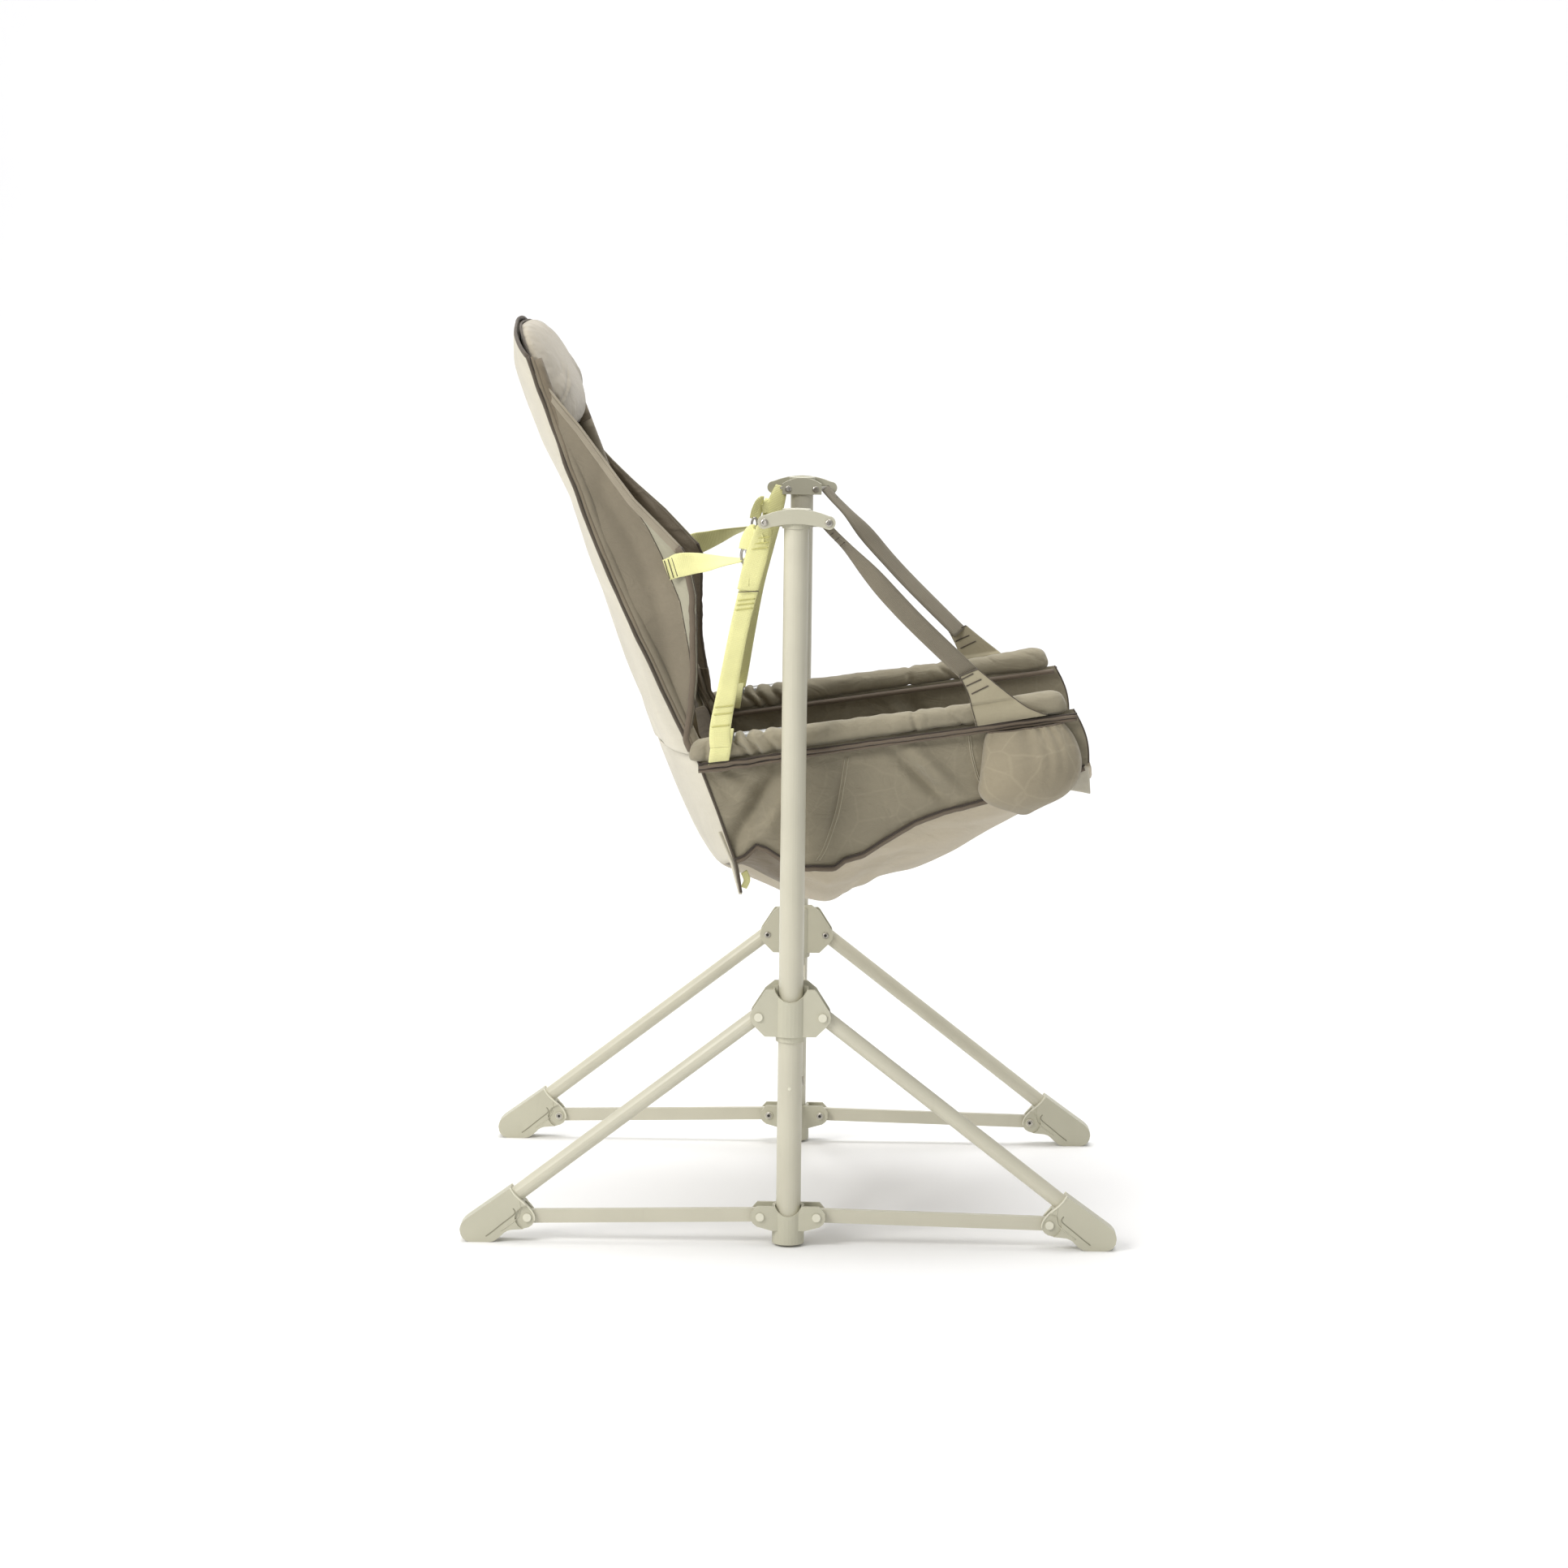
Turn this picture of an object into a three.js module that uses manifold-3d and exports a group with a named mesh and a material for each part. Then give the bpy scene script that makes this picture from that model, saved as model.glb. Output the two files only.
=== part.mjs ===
// Suspended, swinging camp chair: two folding side stands joined by a scissor of cross
// bars, and a fabric seat that hangs from the tops of the two posts on webbing straps.
// Millimetres, +Z up, +X the way the sitter faces, origin on the floor midway between
// the posts. Side "right" is -Y and side "left" is +Y (the sitter's own sides).

import * as THREE from 'three';
import { mergeVertices } from 'three/addons/utils/BufferGeometryUtils.js';
import Module from 'manifold-3d';

const wasm = await Module();
wasm.setup();

// ---------------------------------------------------------------- driving dimensions

const POST_Y = 295; // half distance between the two posts
const POST_R = 15;
const POST_TOP = 884;
const TUBE_WALL = 1.6;

const LOWER_PIN = { x: 34.4, z: 37 }; // strut pivots on the lower hub
const MID_PIN = { x: 38.9, z: 284 }; // leg pivots on the sliding hub
const FOOT_PIN = { x: 318, z: 31 }; // strut pivots on the feet
const PIN_R = 3;
const HOLE_R = 3.3;
const HEAD_R = 5.2;
const HEAD_T = 2;

const EAR_IN = 10.6; // hub ears: inner and outer faces, from the post's plane
const EAR_OUT = 15;

const LEG_R = 9.75;
const LEG_SLOPE = THREE.MathUtils.degToRad(37.7);
const LEG_START = -10; // along the leg's axis, from its hub pivot
const LEG_END = 402;
const BOOT_HALF = 13;

const STRUT_H = 16.5;
const STRUT_T = 8;

const CROSS_Y = POST_Y - 36; // cross bar pivots, inboard of each post
const CROSS_LOW_Z = 46;
const CROSS_HIGH_Z = 240;
const CROSS_H = 14;
const CROSS_T = 8;
const LUG_HALF = 3.5;

const BRACKET_PIN_Z = 883;
const BRACKET_PIN_OUT = 38.5; // outer end of each slanted strap pin
const BRACKET_PIN_IN = 18; // inner end
const CAP_R = 17.2;

const ARM_Y = 247;
const ARM_REAR = { x: -106, z: 610 };
const ARM_FRONT = { x: 328, z: 666 };
const ARM_PAD_R = 18;
const ARM_POLE_R = 8;
const BACK_POLE_R = 7;
const BACK_POLE_TOP = 1065;
const PANEL_Y = 243;
const CLOTH = 4; // thickness of the plain stand-in sheets

const WEB = 25; // webbing width
const WEB_T = 2;

const COLOURS = {
  frame_paint: { color: 0xc9c6b1, roughness: 0.45, metalness: 0.25 },
  hub_plastic: { color: 0xc2bfa9, roughness: 0.55, metalness: 0 },
  fastener: { color: 0xcfcabb, roughness: 0.35, metalness: 0.8 },
  taupe_fabric: { color: 0x8a806e, roughness: 0.9, metalness: 0 },
  arm_fabric: { color: 0xa69c86, roughness: 0.9, metalness: 0 },
  cream_fabric: { color: 0xdfd6c2, roughness: 0.9, metalness: 0 },
  pillow_fabric: { color: 0xb9af9c, roughness: 0.9, metalness: 0 },
  yellow_webbing: { color: 0xf0eda5, roughness: 0.8, metalness: 0 },
  taupe_webbing: { color: 0x7e7765, roughness: 0.8, metalness: 0 },
  pole: { color: 0x8f8f8c, roughness: 0.4, metalness: 0.9 },
};

const SIDES = { right: -1, left: 1 };
const ENDS = { front: 1, rear: -1 };

const chair = new THREE.Group();

// ------------------------------------------------------------------- solid helpers

function weld(geometry) {
  const plain = geometry.index ? geometry.toNonIndexed() : geometry.clone();
  plain.deleteAttribute('normal');
  plain.deleteAttribute('uv');
  return outward(mergeVertices(plain, 1e-4));
}

function outward(geometry) {
  const p = geometry.attributes.position;
  const index = geometry.index.array;
  const [a, b, c] = [new THREE.Vector3(), new THREE.Vector3(), new THREE.Vector3()];
  let volume = 0;
  for (let i = 0; i < index.length; i += 3) {
    a.fromBufferAttribute(p, index[i]);
    b.fromBufferAttribute(p, index[i + 1]);
    c.fromBufferAttribute(p, index[i + 2]);
    volume += a.dot(b.cross(c));
  }
  if (volume < 0) {
    for (let i = 0; i < index.length; i += 3) {
      [index[i], index[i + 1]] = [index[i + 1], index[i]];
    }
  }
  return geometry;
}

function toManifold(geometry) {
  const g = weld(geometry);
  return new wasm.Manifold(new wasm.Mesh({
    numProp: 3,
    vertProperties: new Float32Array(g.attributes.position.array),
    triVerts: new Uint32Array(g.index.array),
  }));
}

function fromManifold(solid) {
  const mesh = solid.getMesh();
  const g = new THREE.BufferGeometry();
  g.setAttribute('position', new THREE.BufferAttribute(mesh.vertProperties, 3));
  g.setIndex(new THREE.BufferAttribute(mesh.triVerts, 1));
  return g;
}

const join = (...parts) => fromManifold(parts.map(toManifold).reduce((a, b) => a.add(b)));

const cut = (body, ...tools) => fromManifold(
  tools.map(toManifold).reduce((a, b) => a.subtract(b), toManifold(body)),
);

function add(name, geometry, finish) {
  const mesh = new THREE.Mesh(weld(geometry), new THREE.MeshStandardMaterial(COLOURS[finish]));
  mesh.name = name;
  chair.add(mesh);
}

// A round bar from a to b.
function rod(a, b, r, sides = 20) {
  const axis = new THREE.Vector3().subVectors(b, a);
  const g = new THREE.CylinderGeometry(r, r, axis.length(), sides);
  return alongAxis(g, a, axis);
}

// A hollow tube from a to b, open at both ends.
function pipe(a, b, rOut, rIn, sides = 24) {
  const axis = new THREE.Vector3().subVectors(b, a);
  const h = axis.length() / 2;
  const ring = [[rIn, -h], [rOut, -h], [rOut, h], [rIn, h], [rIn, -h]];
  const g = new THREE.LatheGeometry(ring.map(([x, y]) => new THREE.Vector2(x, y)), sides);
  return alongAxis(g, a, axis);
}

function alongAxis(geometry, start, axis) {
  const up = new THREE.Vector3(0, 1, 0);
  const turn = new THREE.Quaternion().setFromUnitVectors(up, axis.clone().normalize());
  geometry.applyQuaternion(turn);
  const middle = start.clone().addScaledVector(axis, 0.5);
  return geometry.translate(middle.x, middle.y, middle.z);
}

// An outline in the XZ plane, made solid from y0 to y1.
function plate(shape, y0, y1, curveSegments = 8) {
  const g = new THREE.ExtrudeGeometry(shape, {
    depth: y1 - y0, bevelEnabled: false, curveSegments,
  });
  return g.rotateX(Math.PI / 2).translate(0, y1, 0);
}

function polygon(points) {
  return new THREE.Shape(points.map(([x, z]) => new THREE.Vector2(x, z)));
}

function disc(x, z, r) {
  const shape = new THREE.Shape();
  shape.absarc(x, z, r, 0, 2 * Math.PI);
  return shape;
}

function box(x0, x1, y0, y1, z0, z1) {
  const g = new THREE.BoxGeometry(x1 - x0, y1 - y0, z1 - z0);
  return g.translate((x0 + x1) / 2, (y0 + y1) / 2, (z0 + z1) / 2);
}

// A rivet or pin along Y with a round head at each end.
function headedPin(x, z, y0, y1) {
  const at = (y) => new THREE.Vector3(x, y, z);
  return join(
    rod(at(y0), at(y1), PIN_R, 16),
    rod(at(y0 - HEAD_T), at(y0), HEAD_R, 16),
    rod(at(y1), at(y1 + HEAD_T), HEAD_R, 16),
  );
}

// A curved sheet of even thickness. centre(u, v) gives its middle surface, u and v 0..1.
function sheet(centre, nu, nv, thickness) {
  const step = 1e-3;
  const point = (i, j, side) => {
    const [u, v] = [i / nu, j / nv];
    const du = new THREE.Vector3().subVectors(
      centre(Math.min(1, u + step), v), centre(Math.max(0, u - step), v));
    const dv = new THREE.Vector3().subVectors(
      centre(u, Math.min(1, v + step)), centre(u, Math.max(0, v - step)));
    const normal = du.cross(dv).normalize();
    return centre(u, v).addScaledVector(normal, side * thickness / 2);
  };
  const positions = [];
  for (const side of [1, -1]) {
    for (let i = 0; i <= nu; i += 1) {
      for (let j = 0; j <= nv; j += 1) {
        positions.push(...point(i, j, side).toArray());
      }
    }
  }
  const layer = (nu + 1) * (nv + 1);
  const id = (i, j, side) => side * layer + i * (nv + 1) + j;
  const index = [];
  const quad = (a, b, c, d) => index.push(a, b, c, a, c, d);
  for (let i = 0; i < nu; i += 1) {
    for (let j = 0; j < nv; j += 1) {
      quad(id(i, j, 0), id(i + 1, j, 0), id(i + 1, j + 1, 0), id(i, j + 1, 0));
      quad(id(i, j, 1), id(i, j + 1, 1), id(i + 1, j + 1, 1), id(i + 1, j, 1));
    }
  }
  for (let i = 0; i < nu; i += 1) {
    quad(id(i, 0, 0), id(i, 0, 1), id(i + 1, 0, 1), id(i + 1, 0, 0));
    quad(id(i, nv, 0), id(i + 1, nv, 0), id(i + 1, nv, 1), id(i, nv, 1));
  }
  for (let j = 0; j < nv; j += 1) {
    quad(id(0, j, 0), id(0, j + 1, 0), id(0, j + 1, 1), id(0, j, 1));
    quad(id(nu, j, 0), id(nu, j, 1), id(nu, j + 1, 1), id(nu, j + 1, 0));
  }
  const g = new THREE.BufferGeometry();
  g.setAttribute('position', new THREE.Float32BufferAttribute(positions, 3));
  g.setIndex(index);
  return g;
}

// Height or offset read along a polyline of [x, value] points.
function along(points, x) {
  const last = points.length - 1;
  let k = 0;
  while (k < last - 1 && x > points[k + 1][0]) k += 1;
  const [[x0, v0], [x1, v1]] = [points[k], points[k + 1]];
  const t = THREE.MathUtils.clamp((x - x0) / (x1 - x0), 0, 1);
  return v0 + (v1 - v0) * t;
}

const vec = (x, y, z) => new THREE.Vector3(x, y, z);
const lerp = THREE.MathUtils.lerp;

// ------------------------------------------------------------- stand: posts and hubs

function post(s) {
  return pipe(vec(0, s * POST_Y, 6), vec(0, s * POST_Y, POST_TOP), POST_R, POST_R - TUBE_WALL, 32);
}

// Yoke on the post's head: an arched outer bar, an inner block and a cap over the tube.
function topBracket(s) {
  const y = s * POST_Y;
  const arch = new THREE.Shape();
  arch.absarc(-BRACKET_PIN_OUT, BRACKET_PIN_Z, 8, Math.PI / 2, 1.5 * Math.PI);
  arch.quadraticCurveTo(0, BRACKET_PIN_Z + 5, BRACKET_PIN_OUT, BRACKET_PIN_Z - 8);
  arch.absarc(BRACKET_PIN_OUT, BRACKET_PIN_Z, 8, -Math.PI / 2, Math.PI / 2);
  arch.quadraticCurveTo(0, BRACKET_PIN_Z + 24, -BRACKET_PIN_OUT, BRACKET_PIN_Z + 8);
  const inner = new THREE.Shape();
  inner.moveTo(-26, 876);
  inner.lineTo(26, 876);
  inner.lineTo(26, 890);
  inner.quadraticCurveTo(0, 906, -26, 890);
  const band = (shape, near, far) => plate(shape, Math.min(y + s * near, y + s * far),
    Math.max(y + s * near, y + s * far));
  const body = join(
    band(arch, 13, 21),
    band(inner, -19, -10),
    rod(vec(0, y, 875), vec(0, y, 898), CAP_R, 32),
  );
  const holes = Object.values(ENDS).map((e) => {
    const [a, b] = strapPinLine(s, e);
    return rod(a, b, HOLE_R, 16);
  });
  const socket = rod(vec(0, y, 870), vec(0, y, POST_TOP + 0.4), POST_R + 0.3, 32);
  return cut(body, socket, ...holes);
}

// Strap pins slant in plan, so the webbing loops on them face diagonally.
function strapPinLine(s, e) {
  return [
    vec(e * BRACKET_PIN_OUT, s * (POST_Y + 23), BRACKET_PIN_Z),
    vec(e * BRACKET_PIN_IN, s * (POST_Y - 21), BRACKET_PIN_Z),
  ];
}

function strapPin(s, e) {
  const [a, b] = strapPinLine(s, e);
  return rod(a, b, PIN_R, 16);
}

// Two ears on each side of a sleeve, with a channel between them for the tubes.
function earPair(shape, y) {
  return [
    plate(shape, y - EAR_OUT, y - EAR_IN),
    plate(shape, y + EAR_IN, y + EAR_OUT),
  ];
}

// Bracket for the cross bars, on the inboard side of a hub.
function lug(s, zLow, zHigh, zHighInboard) {
  const y = s * POST_Y;
  const slab = (near, far, top) => box(-LUG_HALF, LUG_HALF, Math.min(y - s * near, y - s * far),
    Math.max(y - s * near, y - s * far), zLow, top);
  return join(slab(17, 27, zHigh), slab(26, 46, zHighInboard));
}

function crossHole(s, z) {
  const y = s * CROSS_Y;
  return rod(vec(-20, y, z), vec(20, y, z), 4.3, 20);
}

function pinHoles(pin, y) {
  return Object.values(ENDS).map((e) => rod(
    vec(e * pin.x, y - 30, pin.z), vec(e * pin.x, y + 30, pin.z), HOLE_R, 16));
}

// The half space on the outward side of a post, for cuts that leave the inner ears whole.
function outwardOf(shape, y, s) {
  return plate(shape, Math.min(y, y + s * 40), Math.max(y, y + s * 40));
}

function lowerHub(s) {
  const y = s * POST_Y;
  const ears = polygon([[-43, 29], [-38, 25], [-20, 20], [20, 20], [38, 25], [43, 29],
    [45, 34], [45, 42], [38, 50], [-38, 50], [-45, 42], [-45, 34]]);
  const body = join(
    rod(vec(0, y, 3), vec(0, y, 50), 19.5, 28),
    ...earPair(ears, y),
    lug(s, 34, 60, 60),
  );
  const socket = rod(vec(0, y, 5.6), vec(0, y, 80), POST_R + 0.3, 28);
  return cut(body, outwardOf(disc(0, 55, 17), y, s), socket, crossHole(s, CROSS_LOW_Z),
    ...pinHoles(LOWER_PIN, y));
}

function midHub(s) {
  const y = s * POST_Y;
  const ears = polygon([[-31, 260], [31, 260], [42, 271], [48, 278], [49, 285], [47, 291],
    [31, 316], [20, 325], [-20, 325], [-31, 316], [-47, 291], [-49, 285], [-48, 278],
    [-42, 271]]);
  const body = join(
    rod(vec(0, y, 253), vec(0, y, 262), 18, 28),
    rod(vec(0, y, 260), vec(0, y, 320), 21.5, 28),
    ...earPair(ears, y),
    lug(s, 231, 272, 250),
  );
  const bore = rod(vec(0, y, 200), vec(0, y, 400), POST_R + 0.5, 28);
  const lowered = polygon([[-60, 318], [60, 318], [60, 340], [-60, 340]]);
  return cut(body, outwardOf(disc(0, 323, 20.5), y, s), outwardOf(lowered, y, s), bore,
    crossHole(s, CROSS_HIGH_Z), ...pinHoles(MID_PIN, y));
}

// The leg's hub pivot is left open, so its rivet stays in the outer ear.
function legRivet(s, e) {
  const at = (offset) => vec(e * MID_PIN.x, s * (POST_Y + offset), MID_PIN.z);
  return join(
    rod(at(EAR_IN + 0.2), at(EAR_OUT + 0.4), PIN_R, 16),
    rod(at(EAR_OUT + 0.4), at(EAR_OUT + 2.4), HEAD_R, 16),
  );
}

// ------------------------------------------------------------ stand: legs and struts

function onLeg(s, e, distance, above = 0) {
  const [c, n] = [Math.cos(LEG_SLOPE), Math.sin(LEG_SLOPE)];
  return vec(e * (MID_PIN.x + distance * c + above * n), s * POST_Y,
    MID_PIN.z - distance * n + above * c);
}

function leg(s, e) {
  return pipe(onLeg(s, e, LEG_START), onLeg(s, e, LEG_END), LEG_R, LEG_R - TUBE_WALL, 20);
}

// Boot-shaped foot: a socket for the leg, a clevis for the strut and a flat sole.
function foot(s, e) {
  const y = s * POST_Y;
  const boot = new THREE.Shape();
  boot.moveTo(e * 338.5, 67.5);
  boot.lineTo(e * 391, 29.5);
  boot.quadraticCurveTo(e * 400, 23, e * 400, 15);
  boot.quadraticCurveTo(e * 399, 2, e * 388, 0);
  boot.lineTo(e * 364, 0);
  boot.quadraticCurveTo(e * 356, 1, e * 349, 9);
  boot.quadraticCurveTo(e * 343, 16, e * 334, 16);
  boot.lineTo(e * 322, 17);
  boot.quadraticCurveTo(e * 309, 19, e * 308.5, 30);
  boot.quadraticCurveTo(e * 308.5, 37, e * 313, 41);
  boot.lineTo(e * 322, 50);
  const body = plate(boot, y - BOOT_HALF, y + BOOT_HALF, 4);
  const socket = rod(onLeg(s, e, 330), onLeg(s, e, LEG_END + 0.5), LEG_R + 0.3, 20);
  const half = STRUT_T / 2 + 0.5;
  const channel = plate(disc(e * FOOT_PIN.x, FOOT_PIN.z, 18.5), y - half, y + half);
  const earSide = disc(e * FOOT_PIN.x, FOOT_PIN.z, 15);
  const shave = [
    plate(earSide, y - BOOT_HALF - 1, y - 10),
    plate(earSide, y + 10, y + BOOT_HALF + 1),
  ];
  const hole = rod(vec(e * FOOT_PIN.x, y - 30, FOOT_PIN.z), vec(e * FOOT_PIN.x, y + 30, FOOT_PIN.z),
    HOLE_R, 16);
  return cut(body, socket, channel, hole, ...shave);
}

function strut(s, e) {
  const y = s * POST_Y;
  const r = STRUT_H / 2;
  const turn = Math.atan2(FOOT_PIN.z - LOWER_PIN.z, e * (FOOT_PIN.x - LOWER_PIN.x));
  const length = Math.hypot(FOOT_PIN.x - LOWER_PIN.x, FOOT_PIN.z - LOWER_PIN.z);
  const bar = new THREE.Shape();
  bar.absarc(0, 0, r, Math.PI / 2, 1.5 * Math.PI);
  bar.absarc(length, 0, r, -Math.PI / 2, Math.PI / 2);
  for (const x of [0, length]) {
    const hole = new THREE.Path();
    hole.absarc(x, 0, HOLE_R, 0, 2 * Math.PI);
    bar.holes.push(hole);
  }
  return plate(bar, -STRUT_T / 2, STRUT_T / 2, 8)
    .rotateY(-turn)
    .translate(e * LOWER_PIN.x, y, LOWER_PIN.z);
}

// ------------------------------------------------------------------ stand: cross bars

// A flat bar in the YZ plane with a stud at each end, through the lugs of both stands.
function crossBar(side) {
  const [y0, z0] = [-side * CROSS_Y, CROSS_LOW_Z];
  const [y1, z1] = [side * CROSS_Y, CROSS_HIGH_Z];
  const length = Math.hypot(y1 - y0, z1 - z0);
  const r = CROSS_H / 2;
  const bar = new THREE.Shape();
  bar.absarc(0, 0, r, Math.PI / 2, 1.5 * Math.PI);
  bar.absarc(length, 0, r, -Math.PI / 2, Math.PI / 2);
  const inner = LUG_HALF + 0.6;
  const flat = new THREE.ExtrudeGeometry(bar, { depth: CROSS_T, bevelEnabled: false, curveSegments: 8 });
  flat.rotateX(Math.PI / 2).rotateZ(Math.PI / 2);
  flat.rotateX(side > 0 ? Math.atan2(z1 - z0, y1 - y0) : Math.PI - Math.atan2(z1 - z0, y0 - y1));
  flat.computeBoundingBox();
  const shift = side > 0 ? inner - flat.boundingBox.min.x : -inner - flat.boundingBox.max.x;
  flat.translate(shift, y0, z0);
  const studs = [[y0, z0], [y1, z1]].flatMap(([y, z]) => [
    rod(vec(side * (inner + 1), y, z), vec(-side * (inner + 0.2), y, z), 4, 16),
    rod(vec(-side * (inner - 0.3), y, z), vec(-side * (inner + 2), y, z), 6.4, 16),
  ]);
  const pivot = rod(vec(-20, 0, (z0 + z1) / 2), vec(20, 0, (z0 + z1) / 2), 4.3, 16);
  return cut(join(flat, ...studs), pivot);
}

function crossPin() {
  const z = (CROSS_LOW_Z + CROSS_HIGH_Z) / 2;
  const end = LUG_HALF + 0.6 + CROSS_T + 0.4;
  return join(
    rod(vec(-end, 0, z), vec(end, 0, z), 4, 16),
    rod(vec(-end - 2, 0, z), vec(-end, 0, z), 6.5, 16),
    rod(vec(end, 0, z), vec(end + 2, 0, z), 6.5, 16),
  );
}

// ------------------------------------------------------------------------ seat frame

// Centreline of a back pole: [height, x], from the arm's rear end to the head.
const BACK_LINE = [[602, -121], [624, -130], [721, -176], [818, -222], [914, -261],
  [1009, -297], [1080, -323]];

const backX = (z) => along(BACK_LINE, z);

function backHalf(z) {
  const t = THREE.MathUtils.smoothstep(z, 760, 1090);
  return PANEL_Y - 31 * t;
}

const armAxis = (x) => lerp(ARM_REAR.z, ARM_FRONT.z,
  (x - ARM_REAR.x) / (ARM_FRONT.x - ARM_REAR.x));

function armLine(s, inset) {
  return [
    vec(ARM_REAR.x + inset, s * ARM_Y, armAxis(ARM_REAR.x + inset)),
    vec(ARM_FRONT.x - inset, s * ARM_Y, armAxis(ARM_FRONT.x - inset)),
  ];
}

const armPad = (s) => pipe(...armLine(s, 0), ARM_PAD_R, ARM_POLE_R + 0.5, 20);
const armPole = (s) => pipe(...armLine(s, 4), ARM_POLE_R, ARM_POLE_R - 1.5, 16);

function backPole(s) {
  const curve = new THREE.CatmullRomCurve3(
    BACK_LINE.map(([z]) => Math.min(z, BACK_POLE_TOP))
      .map((z) => vec(backX(z), s * backHalf(z), z)));
  const ring = new THREE.Shape();
  ring.absarc(0, 0, BACK_POLE_R, 0, 2 * Math.PI);
  const bore = new THREE.Path();
  bore.absarc(0, 0, BACK_POLE_R - 1.5, 0, 2 * Math.PI);
  ring.holes.push(bore);
  return new THREE.ExtrudeGeometry(ring, { steps: 14, extrudePath: curve, curveSegments: 5 });
}

// ----------------------------------------------------------------- plain soft solids

// The seat's sheet runs from the arms' rear ends down the lower back and forward to the
// front hem. Its side seam and its middle line, [x, height], have matching points.
const SEAT_EDGE = [[-116, 592], [-92, 526], [-68, 474], [-30, 479], [22, 455], [81, 468],
  [159, 509], [217, 537], [290, 564], [360, 588]];
const SEAT_MIDDLE = [[-178, 592], [-148, 520], [-102, 444], [-40, 409], [37, 386], [96, 396],
  [155, 417], [227, 464], [300, 512], [366, 552]];

// A point part of the way along a row of [x, height] points, t from 0 to 1.
function onRow(row, t) {
  const k = Math.min(Math.floor(t * (row.length - 1)), row.length - 2);
  const f = t * (row.length - 1) - k;
  return [lerp(row[k][0], row[k + 1][0], f), lerp(row[k][1], row[k + 1][1], f)];
}

function sidePanel(s) {
  return sheet((u, v) => {
    const [lowX, lowZ] = onRow(SEAT_EDGE.slice(1), u);
    const topX = lerp(-100, 334, u);
    const x = lerp(lowX + 4, topX, v);
    const z = lerp(lowZ + 3, armAxis(topX) - ARM_PAD_R - 3.5, v);
    const bulge = 7 * Math.sin(Math.PI * u) * Math.sin(Math.PI * v);
    return vec(x, s * (PANEL_Y + bulge), z);
  }, 16, 4, CLOTH);
}

function seatPan() {
  return sheet((u, v) => {
    const across = 2 * v - 1;
    const [ex, ez] = onRow(SEAT_EDGE, u);
    const [mx, mz] = onRow(SEAT_MIDDLE, u);
    const t = 1 - across * across;
    return vec(lerp(ex, mx, t), across * (PANEL_Y - 8), lerp(ez, mz, t));
  }, 18, 12, CLOTH);
}

// The back sags rearward between its poles, most behind the pillow, and arches up at the head.
function backPanel() {
  const { smoothstep } = THREE.MathUtils;
  return sheet((u, v) => {
    const across = 2 * v - 1;
    const middle = 1 - across * across;
    const z = lerp(604, 1074 + 36 * middle, u);
    const sag = 63 - 27 * smoothstep(z, 600, 880) + 9 * smoothstep(z, 900, 970)
      - 10 * smoothstep(z, 1050, 1110);
    return vec(backX(z) - sag * middle, across * (backHalf(z) - BACK_POLE_R - 4), z);
  }, 14, 10, CLOTH);
}

// Shoulder wing: the gusset from the back pole forward to the ridge that the reclining strap
// pulls out. The left strap is let down further, so that wing's ridge is lower.
const RIDGE = {
  right: [[645, -114], [673, -117], [731, -119], [790, -121], [843, -136], [903, -197],
    [942, -228], [988, -263], [1034, -300]],
  left: [[645, -114], [683, -122], [758, -127], [803, -132], [857, -181], [892, -219],
    [945, -262]],
};

function wing(s) {
  const ridge = s < 0 ? RIDGE.right : RIDGE.left;
  const [top] = ridge.at(-1);
  return sheet((u, v) => {
    const z = lerp(645, top, u);
    const rear = backX(z) + BACK_POLE_R + 3;
    const x = lerp(rear, Math.max(along(ridge, z), rear + 3), v);
    return vec(x, s * (backHalf(z) + 2 * v), z);
  }, 14, 3, CLOTH);
}

function pillow() {
  const g = new THREE.SphereGeometry(1, 22, 14);
  const p = g.attributes.position;
  const flat = (c, power) => Math.sign(c) * Math.abs(c) ** power;
  for (let i = 0; i < p.count; i += 1) {
    p.setXYZ(i, flat(p.getX(i), 0.8), flat(p.getY(i), 0.7), flat(p.getZ(i), 0.7));
  }
  g.scale(20, 180, 62).rotateY(THREE.MathUtils.degToRad(-26));
  return g.translate(-303, 0, 1043);
}

// Gathered pocket on the outside of the arm's front end, open at the top.
function pouch(s) {
  const outline = [[0, -54], [24, -50], [42, -38], [53, -18], [57, 6], [55, 26], [50, 44]];
  const body = (inset, top) => {
    const profile = outline.map(([r, z]) => new THREE.Vector2(Math.max(0, r - inset),
      Math.min(z + inset, 44)));
    profile.push(new THREE.Vector2(50 - inset, top), new THREE.Vector2(0, top));
    const g = new THREE.LatheGeometry(profile, 24).rotateX(Math.PI / 2);
    return g.scale(1, 0.76, 1).translate(282, s * (PANEL_Y + 10), 582);
  };
  const inboardOf = (y) => box(150, 420, Math.min(s * y, 0), Math.max(s * y, 0), 480, 700);
  const hollow = cut(body(CLOTH, 60), inboardOf(PANEL_Y + 11));
  return cut(body(0, 45), inboardOf(PANEL_Y + 8), hollow);
}

// A straight run of webbing. across is the direction of its width.
function webbing(a, b, across, width = WEB) {
  return sheet((u, v) => vec(0, 0, 0)
    .lerpVectors(a, b, u)
    .addScaledVector(across, (v - 0.5) * width), 4, 1, WEB_T);
}

const STRAP_TOP_Y = POST_Y - 6;
const STRAP_LOW_Y = ARM_Y + ARM_PAD_R + 3;

function rearStrap(s) {
  return webbing(vec(-33, s * STRAP_TOP_Y, 860), vec(-88, s * STRAP_LOW_Y, 598), vec(1, 0, 0));
}

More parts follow.
